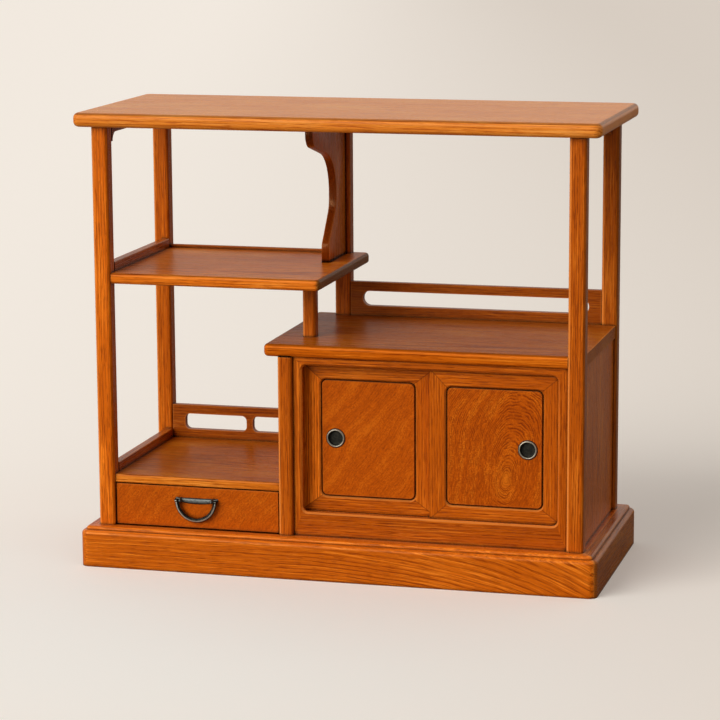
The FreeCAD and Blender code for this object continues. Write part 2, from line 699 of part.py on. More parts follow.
def build_plinth():
    """A moulded ring of four boards round the base board: face, shoulder, ledge and bead."""
    wide = ("left - plinth_side_reach", "right + plinth_side_reach")
    deep = ("-depth / 2", "depth / 2")
    ring = doc.addObject("PartDesign::Body", "plinth_ring")
    pad(ring, "XY_Plane", ("0", "0", "0"), "plinth_ledge_height", rectangle, span(wide), "depth")
    round_edges(ring, "plinth_corner", upright)
    round_edges(ring, "plinth_shoulder", lambda e, box: level(e, box.ZMax))
    step = "plinth_ledge_setback"
    pad(ring, "XY_Plane", (step, step, "plinth_ledge_height"),
        "plinth_height - plinth_ledge_height", rounded_rectangle,
        span(wide) + " - 2 * plinth_ledge_setback", "depth - 2 * plinth_ledge_setback",
        "plinth_corner - plinth_ledge_setback")
    round_edges(ring, "plinth_bead", lambda e, box: level(e, box.ZMax))
    pocket(ring, "XY_Plane", ("plinth_thickness", "plinth_thickness", "-overrun"), "total_height",
           rectangle, span(wide) + " - 2 * plinth_thickness", "depth - 2 * plinth_thickness")
    place(ring, wide[0], deep[0], "0")

    inner_x = (wide[0] + " + plinth_thickness", wide[1] + " - plinth_thickness")
    inner_y = (deep[0] + " + plinth_thickness", deep[1] + " - plinth_thickness")
    up = ("-overrun", "total_height")
    down = ("-total_height", "overrun")
    mitred("plinth_front", ring, "y", (deep[0], inner_y[0]), wide, inner_x, up)
    mitred("plinth_back", ring, "y", (inner_y[1], deep[1]), inner_x, wide, up)
    mitred("plinth_left", ring, "x_flat", (wide[0], inner_x[0]), deep, inner_y, down)
    mitred("plinth_right", ring, "x_flat", (inner_x[1], wide[1]), inner_y, deep, down)

    z = ("plinth_height - base_thickness", "plinth_height")
    base = board("base_board", inner_x, inner_y, z)
    mortises(base, inner_x[0], inner_y[0], z[0])

    blocks = new_body("corner_blocks")
    long_way = "(%s) - block_size" % span(inner_x)
    short_way = "(%s) - block_size" % span(inner_y)
    for x in ("0", long_way):
        for y in ("0", short_way):
            pad(blocks, "XY_Plane", (x, y, "0"), "block_height", rectangle, "block_size", "block_size")
    place(blocks, inner_x[0], inner_y[0], "plinth_height - base_thickness - block_height")


def frame_ring(name, x, front, z, thickness, widths, corner, bevel):
    """An upright ring with rounded inner corners and a bevelled inner front edge."""
    left, right, bottom, top = widths
    ring = doc.addObject("PartDesign::Body", name)
    pad(ring, "XZ_Plane", ("0", "0", "0"), thickness, rectangle, span(x), span(z))
    pocket(ring, "XZ_Plane", (left, "-overrun", bottom), thickness + " + 2 * overrun",
           rounded_rectangle, "%s - (%s) - (%s)" % (span(x), left, right),
           "%s - (%s) - (%s)" % (span(z), bottom, top), corner)
    outer = ring.Shape.BoundBox

    def inner_front(e, box):
        on_front = near(e.BoundBox.YMax, box.YMin)
        outside = (near(e.BoundBox.XMin, outer.XMin) or near(e.BoundBox.XMax, outer.XMax)
                   or near(e.BoundBox.ZMin, outer.ZMin) or near(e.BoundBox.ZMax, outer.ZMax))
        return on_front and not outside

    bevel_edges(ring, bevel, inner_front)
    place(ring, x[0], front, z[0])
    return ring


def build_face_frame():
    x = ("middle_right", "inner_right")
    z = ("plinth_height", "middle_underside")
    widths = ("frame_left", "frame_right", "frame_bottom", "frame_top")
    ring = frame_ring("face_ring", x, "frame_front", z, "frame_thickness", widths, "frame_corner",
                      "frame_bevel")
    labels = ["face_frame_" + side for side in ("left", "right", "bottom", "top")]
    ring_members(labels, ring, x, z, widths, ("frame_front", "frame_back"))


def track(label, z, groove_start, groove_depth):
    """A door track: a batten with one groove for each door."""
    body = board(label, ("middle_right", "inner_right"), ("frame_back", "track_back"), z)
    for door in ("front_door", "rear_door"):
        groove = door + " - frame_back + (door_thickness - tongue_thickness) / 2 - track_fit"
        pocket(body, "XY_Plane", ("-overrun", groove, groove_start), groove_depth, rectangle,
               "inner_right - middle_right + 2 * overrun", "tongue_thickness + 2 * track_fit")


def build_tracks():
    lower_z = ("plinth_height", "lower_track_top")
    lower_depth = "lower_tongue + track_fit"
    track("door_track_bottom", lower_z, "%s - (%s) + track_fit" % (span(lower_z), lower_depth),
          lower_depth)
    upper_depth = "upper_tongue + track_fit"
    track("door_track_top", ("upper_track_bottom", "middle_underside"), "-track_fit", upper_depth)


def door(side, x, front, left_stile, right_stile, pull_at):
    """A sliding door: mitred frame with tongues, fielded panel and round pull."""
    z = ("door_bottom", "door_top")
    widths = (left_stile, right_stile, "door_bottom_rail", "door_top_rail")
    ring = frame_ring(side + "_door_ring", x, front, z, "door_thickness", widths, "door_corner",
                      "door_bevel")
    opening = ("%s - (%s) - (%s)" % (span(x), left_stile, right_stile),
               "door_top - door_bottom - door_top_rail - door_bottom_rail")
    groove_start = "field_setback + field_rise"
    pocket(ring, "XZ_Plane",
           ("(%s) - sheet_tongue" % left_stile, groove_start, "door_bottom_rail - sheet_tongue"),
           "sheet_thickness + sheet_fit", rectangle, opening[0] + " + 2 * sheet_tongue",
           opening[1] + " + 2 * sheet_tongue")
    labels = [side + "_door_" + name for name in ("stile_left", "stile_right")]
    labels += [side + "_door_" + name for name in ("rail_bottom_core", "rail_top_core")]
    members = ring_members(labels, ring, x, z, widths, (front, front + " + door_thickness"))

    # The rails slide in the tracks on their tongues
    for core, name, height, foot in ((members[2], "rail_bottom", "lower_tongue",
                                      "door_bottom - lower_tongue"),
                                     (members[3], "rail_top", "upper_tongue", "door_top")):
        tongue = doc.addObject("Part::Box", side + "_" + name + "_tongue")
        bind(tongue, Length=opening[0], Width="tongue_thickness", Height=height)
        place(tongue, "(%s) + (%s)" % (x[0], left_stile),
              front + " + (door_thickness - tongue_thickness) / 2", foot)
        rail = doc.addObject("Part::Fuse", side + "_door_" + name)
        rail.Base = core
        rail.Tool = tongue
        del pieces[core.Label]
        pieces[rail.Label] = rail

    panel = new_body(side + "_door_panel")
    sheet_edge = "sheet_tongue - sheet_fit"
    pad(panel, "XZ_Plane", ("0", "field_rise", "0"), "sheet_thickness", rectangle,
        "%s + 2 * (%s)" % (opening[0], sheet_edge), "%s + 2 * (%s)" % (opening[1], sheet_edge))
    field_at = "%s + field_gap" % sheet_edge
    pad(panel, "XZ_Plane", (field_at, "0", field_at), "field_rise", rounded_rectangle,
        opening[0] + " - 2 * field_gap", opening[1] + " - 2 * field_gap",
        "door_corner - field_gap")
    bevel_edges(panel, "field_bevel", lambda e, box: near(e.BoundBox.YMax, box.YMin))
    panel_x = "(%s) + (%s) - (%s)" % (x[0], left_stile, sheet_edge)
    panel_z = "door_bottom + door_bottom_rail - (%s)" % sheet_edge
    pull_z = "door_bottom + door_bottom_rail + (%s) / 2" % opening[1]
    pocket(panel, "XZ_Plane", ("(%s) - (%s)" % (pull_at, panel_x), "-overrun",
                               "(%s) - (%s)" % (pull_z, panel_z)),
           "overrun + pull_cup_depth + pull_fit", disc, "pull_cup_radius + pull_fit")
    place(panel, panel_x, front + " + field_setback", panel_z)

    pull = new_body(side + "_door_pull")
    pad(pull, "XZ_Plane", ("0", "0", "0"), "pull_flange", disc, "pull_radius")
    pad(pull, "XZ_Plane", ("0", "pull_flange", "0"), "pull_cup_depth", disc, "pull_cup_radius")
    pocket(pull, "XZ_Plane", ("0", "-overrun", "0"),
           "overrun + pull_flange + pull_cup_depth - pull_cup_floor", disc, "pull_hollow_radius")
    place(pull, pull_at, front + " + field_setback - pull_flange", pull_z)


def build_doors():
    left_x = ("opening_left - door_cover", "meeting_line + door_overlap")
    right_x = ("meeting_line", "opening_right + door_cover")
    outer = "door_stile + door_cover"
    door("left", left_x, "rear_door", outer, "door_meeting_stile + door_overlap",
         "opening_left + door_stile + field_gap + pull_inset")
    door("right", right_x, "front_door", "door_meeting_stile", outer,
         "opening_right - door_stile - field_gap - pull_inset")


def build_drawer():
    front = board("drawer_front", ("drawer_left", "drawer_right"),
                  ("drawer_front_face", "drawer_box_front"),
                  ("plinth_height + drawer_gap", "lower_underside - drawer_gap"),
                  bevel_edges, "drawer_front_bevel", lambda e, box: near(e.BoundBox.YMax, box.YMin))
    box_left = ("drawer_left", "drawer_left + drawer_side_thickness")
    box_right = ("drawer_right - drawer_side_thickness", "drawer_right")
    long_way = ("drawer_box_front", "drawer_box_back")
    up = ("drawer_bottom_edge", "lower_underside - drawer_headroom")
    inside = (box_left[1], box_right[0])
    back_y = ("drawer_box_back - drawer_side_thickness", "drawer_box_back")
    left_side = board("drawer_side_left", box_left, long_way, up)
    right_side = board("drawer_side_right", box_right, long_way, up)
    back = board("drawer_back", inside, back_y, up)

    # Grooves for the drawer's bottom
    groove = "drawer_floor_thickness + 2 * drawer_floor_fit"
    rise = "drawer_floor_rise - drawer_floor_fit"
    long_groove = "drawer_box_back - drawer_box_front - drawer_side_thickness + drawer_floor_tongue"
    pocket(left_side, "XY_Plane", ("drawer_side_thickness - drawer_floor_tongue", "0", rise), groove,
           rectangle, "drawer_floor_tongue + overrun", long_groove)
    pocket(right_side, "XY_Plane", ("-overrun", "0", rise), groove,
           rectangle, "drawer_floor_tongue + overrun", long_groove)
    pocket(back, "XY_Plane", ("-overrun", "-overrun", rise), groove, rectangle,
           "%s + 2 * overrun" % span(inside), "overrun + drawer_floor_tongue")
    side_room = "drawer_side_thickness - drawer_floor_tongue"
    pocket(front, "XY_Plane", (side_room, "drawer_front_thickness - drawer_floor_tongue",
                               "drawer_bottom_edge - plinth_height - drawer_gap + " + rise), groove,
           rectangle, "drawer_right - drawer_left - 2 * (%s)" % side_room,
           "drawer_floor_tongue + overrun")
    tongue = "drawer_floor_tongue - drawer_floor_fit"
    board("drawer_bottom", ("%s - (%s)" % (inside[0], tongue), "%s + (%s)" % (inside[1], tongue)),
          ("drawer_box_front - (%s)" % tongue, "%s + (%s)" % (back_y[0], tongue)),
          ("drawer_bottom_edge + drawer_floor_rise",
           "drawer_bottom_edge + drawer_floor_rise + drawer_floor_thickness"))


def build_drawer_pull():
    """A boat-shaped plate with two lugs, and a half-round bail that swings on its pins."""
    plate = new_body("drawer_pull_plate")
    belly = "(plate_height - plate_end)"
    radius = "((plate_length / 2) ^ 2 + %s ^ 2) / (2 * %s)" % (belly, belly)
    corners = [("0", "plate_height"), ("0", belly, radius, BULGE), ("plate_length", belly),
               ("plate_length", "plate_height")]
    pad(plate, "XZ_Plane", ("0", "0", "0"), "plate_thickness", outline, corners)
    place(plate, "pull_middle - plate_length / 2", "plate_front", "plate_top - plate_height")

    eye_half = "(bail_bar / 2 + bail_eye_side)"
    inner = "bail_radius - %s - lug_gap - lug_thickness" % eye_half
    starts = ("plate_length / 2 - (%s) - lug_thickness" % inner, "plate_length / 2 + (%s)" % inner)
    axis = "plate_height - bail_drop"
    lug = [("0", "-lug_radius"), ("0", "lug_radius"), ("-bail_reach", "lug_radius", "lug_radius", BULGE),
           ("-bail_reach - lug_radius", "0", "lug_radius", BULGE), ("-bail_reach", "-lug_radius")]
    for start in starts:
        pad(plate, "YZ_Plane", (start, "0", axis), "lug_thickness", outline, lug)
        pocket(plate, "YZ_Plane", (start, "-bail_reach", axis), "lug_thickness", disc,
               "pin_radius + pin_fit")

    bail = new_body("drawer_bail")
    outer = "(bail_radius + bail_bar / 2)"
    hollow = "(bail_radius - bail_bar / 2)"
    right_end = "%s + %s" % (outer, hollow)
    left_end = "%s - %s" % (outer, hollow)
    half_ring = [("0", outer, outer, BULGE), (outer, "0", outer, BULGE),
                 ("2 * %s" % outer, outer), (right_end, outer, hollow, HOLLOW),
                 (outer, left_end, hollow, HOLLOW), (left_end, outer)]
    pad(bail, "XZ_Plane", ("-" + outer, "-bail_depth / 2", "-" + outer), "bail_depth", outline,
        half_ring)
    pin_length = eye_half + " + lug_gap + lug_thickness + pin_end"
    for eye_start, pin_start in (("-bail_radius - " + eye_half, "-bail_radius"),
                                 ("bail_radius - " + eye_half,
                                  "bail_radius - (%s)" % pin_length)):
        pad(bail, "YZ_Plane", (eye_start, "0", "0"), "2 * " + eye_half, disc, "bail_eye")
        pad(bail, "YZ_Plane", (pin_start, "0", "0"), pin_length, disc, "pin_radius")
    place(bail, "pull_middle", "bail_axis_front", "bail_axis_height")


build_posts()
build_top()
build_upper_shelf()
build_middle_shelf()
build_lower_shelf()
build_shelf_rails()
build_aprons()
build_scroll_panel()
build_plinth()
build_carcass()
build_face_frame()
build_tracks()
build_doors()
build_drawer()
build_drawer_pull()
doc.recompute()

faults = [thing.Name for thing in doc.Objects
          if "Invalid" in thing.State or "Error" in thing.State]
for label, piece in pieces.items():
    if piece.Shape.isNull() or not piece.Shape.isValid() or not piece.Shape.Solids:
        faults.append(label)
if faults:
    raise RuntimeError("these did not build: " + ", ".join(faults))

os.makedirs("parts", exist_ok=True)
for label, piece in pieces.items():
    piece.Label = label
    piece.Shape.exportStep("parts/%s.step" % label)
print("%d pieces" % len(pieces))
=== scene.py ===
import bpy
import bmesh
import json
import math
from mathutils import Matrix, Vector


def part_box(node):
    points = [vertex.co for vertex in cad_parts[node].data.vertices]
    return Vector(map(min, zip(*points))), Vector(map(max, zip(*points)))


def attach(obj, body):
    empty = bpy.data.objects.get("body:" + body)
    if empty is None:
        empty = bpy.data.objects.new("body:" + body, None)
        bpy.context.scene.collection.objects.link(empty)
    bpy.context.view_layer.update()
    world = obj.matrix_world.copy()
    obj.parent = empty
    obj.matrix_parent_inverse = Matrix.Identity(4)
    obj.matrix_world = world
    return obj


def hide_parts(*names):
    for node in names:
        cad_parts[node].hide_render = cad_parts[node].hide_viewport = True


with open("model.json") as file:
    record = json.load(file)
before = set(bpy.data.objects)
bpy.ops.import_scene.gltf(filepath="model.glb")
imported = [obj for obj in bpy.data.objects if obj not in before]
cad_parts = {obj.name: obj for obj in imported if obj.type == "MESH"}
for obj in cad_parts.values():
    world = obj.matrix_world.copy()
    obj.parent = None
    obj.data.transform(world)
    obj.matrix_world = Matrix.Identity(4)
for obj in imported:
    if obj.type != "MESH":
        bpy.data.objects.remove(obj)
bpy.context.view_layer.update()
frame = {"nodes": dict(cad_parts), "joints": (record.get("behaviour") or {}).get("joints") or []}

MM = 0.001


# ---------------------------------------------------------------- finishes: the node arithmetic

class Line:
    """One output in a finish. Arithmetic on it adds the nodes that work it out."""

    def __init__(self, finish, socket):
        self.finish = finish
        self.socket = socket

    def _work_out(self, operation, first, second=None):
        vector = any(isinstance(side, tuple) or
                     (isinstance(side, Line) and side.socket.type == "VECTOR")
                     for side in (first, second))
        kind = "ShaderNodeVectorMath" if vector else "ShaderNodeMath"
        sockets = {0: first}
        if second is not None:
            sockets[1] = second
        return self.finish.add(kind, {"operation": operation}, sockets)

    def __add__(self, other):
        return self._work_out("ADD", self, other)

    def __radd__(self, other):
        return self._work_out("ADD", other, self)

    def __sub__(self, other):
        return self._work_out("SUBTRACT", self, other)

    def __rsub__(self, other):
        return self._work_out("SUBTRACT", other, self)

    def __mul__(self, other):
        return self._work_out("MULTIPLY", self, other)

    def __rmul__(self, other):
        return self._work_out("MULTIPLY", other, self)

    def __truediv__(self, other):
        return self._work_out("DIVIDE", self, other)

    def __rtruediv__(self, other):
        return self._work_out("DIVIDE", other, self)

    def math(self, operation, other=None):
        return self._work_out(operation, self, other)


class Finish:
    """A procedural finish on the Principled shader, or the light of a world."""

    def __init__(self, name, world=None, **constants):
        if world:
            self.tree = world.node_tree
            self.tree.nodes.clear()
            return
        self.material = bpy.data.materials.new(name)
        self.material.use_nodes = True
        self.tree = self.material.node_tree
        self.shader = self.tree.nodes["Principled BSDF"]
        for socket, value in constants.items():
            self.shader.inputs[socket.replace("_", " ")].default_value = value
        self.place = self.add("ShaderNodeTexCoord", output="Object")

    def add(self, kind, settings=None, sockets=None, output=0):
        """A node of a kind, its settings set first, then its sockets' values or links."""
        node = self.tree.nodes.new(kind)
        for key, value in (settings or {}).items():
            if key == "stops":
                ramp = node.color_ramp
                while len(ramp.elements) < len(value):
                    ramp.elements.new(1.0)
                for stop, (at, level) in zip(ramp.elements, value):
                    stop.position = at
                    stop.color = (level, level, level, 1.0)
            else:
                setattr(node, key, value)
        for key, value in (sockets or {}).items():
            if isinstance(value, Line):
                self.tree.links.new(value.socket, node.inputs[key])
            else:
                node.inputs[key].default_value = value
        return Line(self, node.outputs[output])

    def set(self, socket, line):
        self.tree.links.new(line.socket, self.shader.inputs[socket])

    def close(self, shader):
        """The last link of a world: its shader to its output."""
        out = self.tree.nodes.new("ShaderNodeOutputWorld")
        self.tree.links.new(shader.socket, out.inputs["Surface"])

    def split(self, vector):
        parts = self.add("ShaderNodeSeparateXYZ", None, {0: vector})
        node = parts.socket.node
        return [Line(self, node.outputs[i]) for i in range(3)]

    def join(self, x, y, z):
        return self.add("ShaderNodeCombineXYZ", None, {0: x, 1: y, 2: z})

    def facing(self):
        """How far the surface faces right, back and up."""
        return self.split(self.add("ShaderNodeTexCoord", output="Normal"))

    def noise(self, place, detail=2.0, rough=0.5, scale=1.0, colour=False):
        return self.add("ShaderNodeTexNoise", {"noise_dimensions": "3D"},
                        {"Vector": place, "Scale": scale, "Detail": detail, "Roughness": rough},
                        "Color" if colour else "Fac")

    def ramp(self, value, stops, smooth=False):
        """A value's first two stops carried to the last two, and held outside them."""
        return self.add("ShaderNodeMapRange",
                        {"interpolation_type": "SMOOTHSTEP" if smooth else "LINEAR"},
                        {"Value": value, "From Min": stops[0], "From Max": stops[1],
                         "To Min": stops[2], "To Max": stops[3]})

    def band(self, value, stops, strength):
        """A strength that comes between the first two stops and goes between the last two."""
        return self.ramp(value, (stops[0], stops[1], 0.0, strength), True) \
            * self.ramp(value, (stops[2], stops[3], 1.0, 0.0), True)

    def blend(self, factor, first, second, mode="MIX"):
        """Two colours mixed: the Mix node's colour sockets are its inputs 6 and 7."""
        return self.add("ShaderNodeMix", {"data_type": "RGBA", "blend_type": mode},
                        {0: factor, 6: first, 7: second}, 2)

    def tinted(self, colour, tint):
        return self.blend(1.0, colour, (*tint, 1.0), "MULTIPLY")

    def openness(self, distance, **settings):
        """How open the surface is, from 0 in a narrow gap to 1 on a free face."""
        return self.add("ShaderNodeAmbientOcclusion", {"samples": 6, **settings},
                        {"Distance": distance}, "AO")

    def bump(self, strength, distance, height):
        self.set("Normal", self.add("ShaderNodeBump", None, {
            "Strength": strength, "Distance": distance, "Height": height}))


def distance_of(across, up, least=0.0):
    """How far a place is from the point where across and up are nothing."""
    squares = across * across + up * up
    return (squares + least if least else squares).math("SQRT")


def shade(red, green, blue):
    """A colour as it is seen, 0 to 255, in the light's own values."""
    def light(value):
        part = value / 255
        return part / 12.92 if part <= 0.04045 else ((part + 0.055) / 1.055) ** 2.4
    return (light(red), light(green), light(blue), 1.0)


# ---------------------------------------------------------------- zelkova

PALE = shade(228, 122, 30)
WARM = shade(194, 89, 7)
DEEP = shade(130, 48, 2)
# The lacquer takes the wood's colour head on and shows white only at a low angle
AMBER = (1.0, 0.55, 0.25, 1.0)
# Painted shade, for gaps and grooves and the dark line where a board's top turns down
PAINTED_SHADE = shade(34, 9, 1)
# Painted highlight, for edges and rounded corners
PAINTED_HIGHLIGHT = shade(236, 142, 62)
GLUE_LINE = shade(78, 24, 6)
AS_CUT = (1, 1, 1)
# The boards are a yellower cut than the posts and frames
HONEY = {"pale": shade(255, 176, 82), "warm": shade(246, 148, 46), "deep": shade(184, 84, 16)}
TAWNY = {"pale": shade(244, 156, 58), "warm": shade(218, 118, 26), "deep": shade(150, 64, 8)}

# Which of x, y and z runs along the grain, and which two across it
LONGWAYS = {"x": (0, 1, 2), "y": (1, 0, 2), "z": (2, 0, 1)}

# How often each feature comes in a metre, along the grain and across it
BEND_OFTEN = (1.6, 8)
RIPPLE_OFTEN = (14, 45)
STRANDS_OFTEN = (9, 480)
WISPS_OFTEN = (34, 640)
PORES_OFTEN = (90, 1900)
CLOUDS_OFTEN = (5, 18)
DASHES_ACROSS = 230
RIPPLE_DEPTH = 2.2 * MM

# Through one year's growth: the dark row of vessels, then the plain late wood
YEAR_ROWS = [(0.0, 0.5), (0.05, 1.0), (0.16, 0.85), (0.30, 0.2), (0.8, 0.0), (1.0, 0.5)]

# How far the painted shade reaches out of a corner: between plain boards, frames and veneers
BOARD_SHADE_REACH = 6.5 * MM
FRAME_SHADE_REACH = 8 * MM
VENEER_SHADE_REACH = 9 * MM
SHADE_IN_GAPS = (0.43, 0.90, 0.98, 0.0)
# How wide the painted highlight along a free edge is, and how it fades
HIGHLIGHT_REACH = 2.8 * MM
HIGHLIGHT_FADES = (0.60, 0.94, 0.6, 0.0)
# A frame's painted highlight lies on its sloping inner edge, by how far that faces the front
SLOPE_STARTS = (0.50, 0.66, 0.0, 0.5)
SLOPE_ENDS = (0.76, 0.92, 1.0, 0.0)
HIGHLIGHT_UPWARDS = (-0.3, 0.6, 0.2, 1.0)

# Lines along a rounded edge, by how far it faces up or right: a painted dark reflection where a
# board's top turns down, a painted highlight just below, and painted highlights down the posts'
# left edges
DARK_REFLECTION_LINE = (0.50, 0.72, 0.955, 0.99)
HIGHLIGHT_LINE = (0.02, 0.20, 0.45, 0.60)
HIGHLIGHT_SHARE = 0.6
LEFT_HIGHLIGHT_LINE = (-0.97, -0.85, -0.45, -0.20)
# A face takes its own tint where it turns to the front or the right: painted light and shade on
# the posts and boards, the darker edge grain on the scroll bracket
TURNED_FACE = (0.3, 0.8, 0.0, 1.0)

SEAM_FADES = (0.3 * MM, 1.1 * MM, 0.5, 0.0)
WOOD_BUMP = 0.25 * MM


def along_grain(wood, along):
    """The place in the board, its first number along the grain."""
    parts = wood.split(wood.place)
    return [parts[i] for i in LONGWAYS[along]]


def stretched(wood, grain, often, shift=None):
    """The place in a board counted in features, which are long with the grain and narrow."""
    u, v, w = grain
    along = u * often[0]
    if shift is not None:
        along = along + shift
    return wood.join(along, v * often[1], w * often[1])


def tree_rings(along, heart, lean=(0.0, 0.0), wander=0.020):
    """Distance from the heart of the log: straight lines on a quartered face, arches on a flat
    one. The heart leans across the board and wanders as it goes."""
    def figure(wood):
        u, v, w = grain = along_grain(wood, along)
        bend = wood.noise(stretched(wood, grain, BEND_OFTEN), colour=True) - (0.5, 0.5, 0.5)
        _, aside, upwards = wood.split(bend * (0.0, wander, wander))
        ripple = wood.noise(stretched(wood, grain, RIPPLE_OFTEN), 1.0) - 0.5
        across = v - heart[0] + u * lean[0] + aside + ripple * RIPPLE_DEPTH
        up = w - heart[1] + u * lean[1] + upwards
        return distance_of(across, up)
    return figure


def painted_shade_and_highlights(wood, colour, depth, framed=False):
    """Painted shade, dark where boards meet and in the grooves; painted highlights along free
    edges, more where they face up, on a mitred frame only along its sloping inner edge."""
    open_air = wood.openness(depth)
    _, backward, upward = wood.facing()
    if framed:
        slope = backward.math("ABSOLUTE")
        edge = wood.ramp(slope, SLOPE_STARTS) * wood.ramp(slope, SLOPE_ENDS)
    else:
        solid = wood.openness(HIGHLIGHT_REACH, inside=True, only_local=True)
        edge = wood.ramp(solid, HIGHLIGHT_FADES, True)
    colour = wood.blend(edge * wood.ramp(upward, HIGHLIGHT_UPWARDS), colour, PAINTED_HIGHLIGHT)
    return wood.blend(wood.ramp(open_air, SHADE_IN_GAPS, True), colour, PAINTED_SHADE)


def zelkova(name, along, figure, ring=0.0036, streak=0.8, fibre=0.5, tone=AS_CUT, seed=0.0,
            pale=PALE, warm=WARM, deep=DEEP, rough=0.27, gloss=0.42, dash=14, unbroken=0.12,
            strength=None, bend=None, mitres=(), framed=False, front=None, right=None,
            eased=0.0, handled=0.0):
    """Satin-lacquered zelkova: rows of dark vessels along each year's ring, broken into streaks,
    fine fibre between them, a slow change of tone, and thin dark lines where mitres meet.

    figure gives the distance that the rings are counted in, bend a height that the streaks
    follow in place of the board's own, strength how bold they are from place to place. tone
    tints the whole board, front and right only those faces. eased is how strong the
    painted dark reflection and painted highlight along its upper edges are, handled the
    painted highlight down its left edge."""
    wood = Finish(name, Roughness=rough, Specular_IOR_Level=gloss, Specular_Tint=AMBER)
    u, v, w = along_grain(wood, along)
    distance = figure(wood)
    if bend:
        w = bend(wood)
    grain = (u, v, w)
    growth = wood.noise(wood.join(distance * 70, seed, 0.0), 1.0) * 1.6
    year = (distance * (1 / ring) + growth).math("FRACT")
    vessels = wood.add("ShaderNodeValToRGB", {"stops": YEAR_ROWS}, {0: year})
    dashes = wood.noise(stretched(wood, grain, (dash, DASHES_ACROSS), seed), 2.0, 0.6)
    gate = wood.ramp(dashes, (0.38, 0.60, unbroken, 1.0), True)
    if strength:
        gate = gate * strength(wood)
    rows = vessels * gate
    strands = wood.noise(stretched(wood, grain, STRANDS_OFTEN), 3.0, 0.75) - 0.5
    wisps = wood.ramp(wood.noise(stretched(wood, grain, WISPS_OFTEN, seed), 2.0, 0.6),
                      (0.53, 0.62, 0.0, 1.0), True)
    pores = wood.ramp(wood.noise(stretched(wood, grain, PORES_OFTEN), 1.0),
                      (0.56, 0.72, 0.0, 1.0))
    cloud = wood.noise(stretched(wood, grain, CLOUDS_OFTEN, seed)) - 0.5
    dark = wood.add("ShaderNodeMath", {"operation": "ADD", "use_clamp": True},
                    {0: rows * streak + pores * 0.08 + wisps * fibre,
                     1: strands * (fibre * 2.4) + cloud * 0.5})
    light = wood.ramp(strands * -1.8 - cloud * 0.9 - vessels * 0.1, (0.0, 0.30, 0.0, 0.8), True)
    colour = wood.blend(dark, wood.blend(light, warm, pale), deep)
    if tone != AS_CUT:
        colour = wood.tinted(colour, tone)
    rightward, backward, upward = wood.facing()
    # A painted dark reflection and a painted highlight along the upper edges, and a painted
    # highlight down the left edge
    for turned_to, stops, strongest, tint in ((upward, DARK_REFLECTION_LINE, eased, PAINTED_SHADE),
                                              (upward, HIGHLIGHT_LINE, eased * HIGHLIGHT_SHARE, PAINTED_HIGHLIGHT),
                                              (rightward, LEFT_HIGHLIGHT_LINE, handled, PAINTED_HIGHLIGHT)):
        if strongest:
            colour = wood.blend(wood.band(turned_to, stops, strongest), colour, tint)
    # Painted light and shade on faces turned to the front and right (on the scroll bracket, its
    # darker edge grain)
    for turned_to, tint in ((backward * -1.0, front), (rightward, right)):
        if tint:
            colour = wood.blend(wood.ramp(turned_to, TURNED_FACE, True), colour,
                                wood.tinted(colour, tint))
    for point, normal in mitres:
        offset = wood.add("ShaderNodeVectorMath", {"operation": "DOT_PRODUCT"},
                          {0: wood.place - point, 1: normal}, "Value")
        seam = wood.ramp(offset.math("ABSOLUTE"), SEAM_FADES, True)
        colour = wood.blend(seam, colour, GLUE_LINE)
    # Painted shade in the gaps and grooves, painted highlights along the edges
    wood.set("Base Color", painted_shade_and_highlights(wood, colour, FRAME_SHADE_REACH if framed else BOARD_SHADE_REACH, framed))
    wood.set("Roughness", pores * 0.12 + strands * 0.12 + rough)
    wood.bump(0.35, WOOD_BUMP, strands * 0.5 - pores * 0.8 - rows * 0.35)
    return wood.material


def dressed(node, material):
    """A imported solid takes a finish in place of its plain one."""
    for slot in frame["nodes"][node].material_slots:
        slot.material = material


# ---------------------------------------------------------------- making meshes

def add_piece(name, mesh_maker, material, body, *nodes, slot="blackened_iron"):
    """A closed mesh of its own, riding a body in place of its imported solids."""
    shape = bmesh.new()
    mesh_maker(shape)
    bmesh.ops.remove_doubles(shape, verts=shape.verts, dist=1e-6)
    bmesh.ops.recalc_face_normals(shape, faces=shape.faces)
    mesh = bpy.data.meshes.new(name)
    shape.to_mesh(mesh)
    shape.free()
    mesh.polygons.foreach_set("use_smooth", [True] * len(mesh.polygons))
    piece = bpy.data.objects.new(name, mesh)
    bpy.context.scene.collection.objects.link(piece)
    piece.data.materials.append(material)
    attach(piece, body)
    if nodes:
        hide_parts(*nodes)


def skin(shape, rings, closed=False):
    """Rings of equal count joined one to the next, and the last to the first if closed."""
    rings = [[shape.verts.new(point) for point in ring] for ring in rings]
    for one, two in zip(rings, rings[1:] + rings[:1] if closed else rings[1:]):
        for step in range(len(one)):
            after = (step + 1) % len(one)
            shape.faces.new((one[step], one[after], two[after], two[step]))
    return rings


def solid_of_rings(shape, rings):
    """Rings joined one to the next, with a flat face at both ends."""
    rings = skin(shape, rings)
    shape.faces.new(rings[0])
    shape.faces.new(list(reversed(rings[-1])))


def run_at(path, place):
    """The way a path goes at one of its points."""
    return (path[min(place + 1, len(path) - 1)] - path[max(place - 1, 0)]).normalized()


# ---------------------------------------------------------------- which board is cut how

# From a lying board's middle to the heart of its log: to the side or the back, and upwards
LYING_HEART = (0.06, 0.10)


def quarter_sawn(node, along, across=0.11, up=0.02, lean=(0.0, 0.0), wander=0.020, **cut):
    """Zelkova for one board, cut so that the lines on the faces that show run straight and
    close together. across says how far the heart is from an upright board's middle."""
    low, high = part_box(node)
    centre = (low + high) / 2
    _, v, w = [centre[i] for i in LONGWAYS[along]]
    if along != "z":
        across, up = LYING_HEART[0], LYING_HEART[1] + up
    figure = tree_rings(along, (v + across, w + up), lean, wander)
    return zelkova(node + "_zelkova", along, figure, **cut)


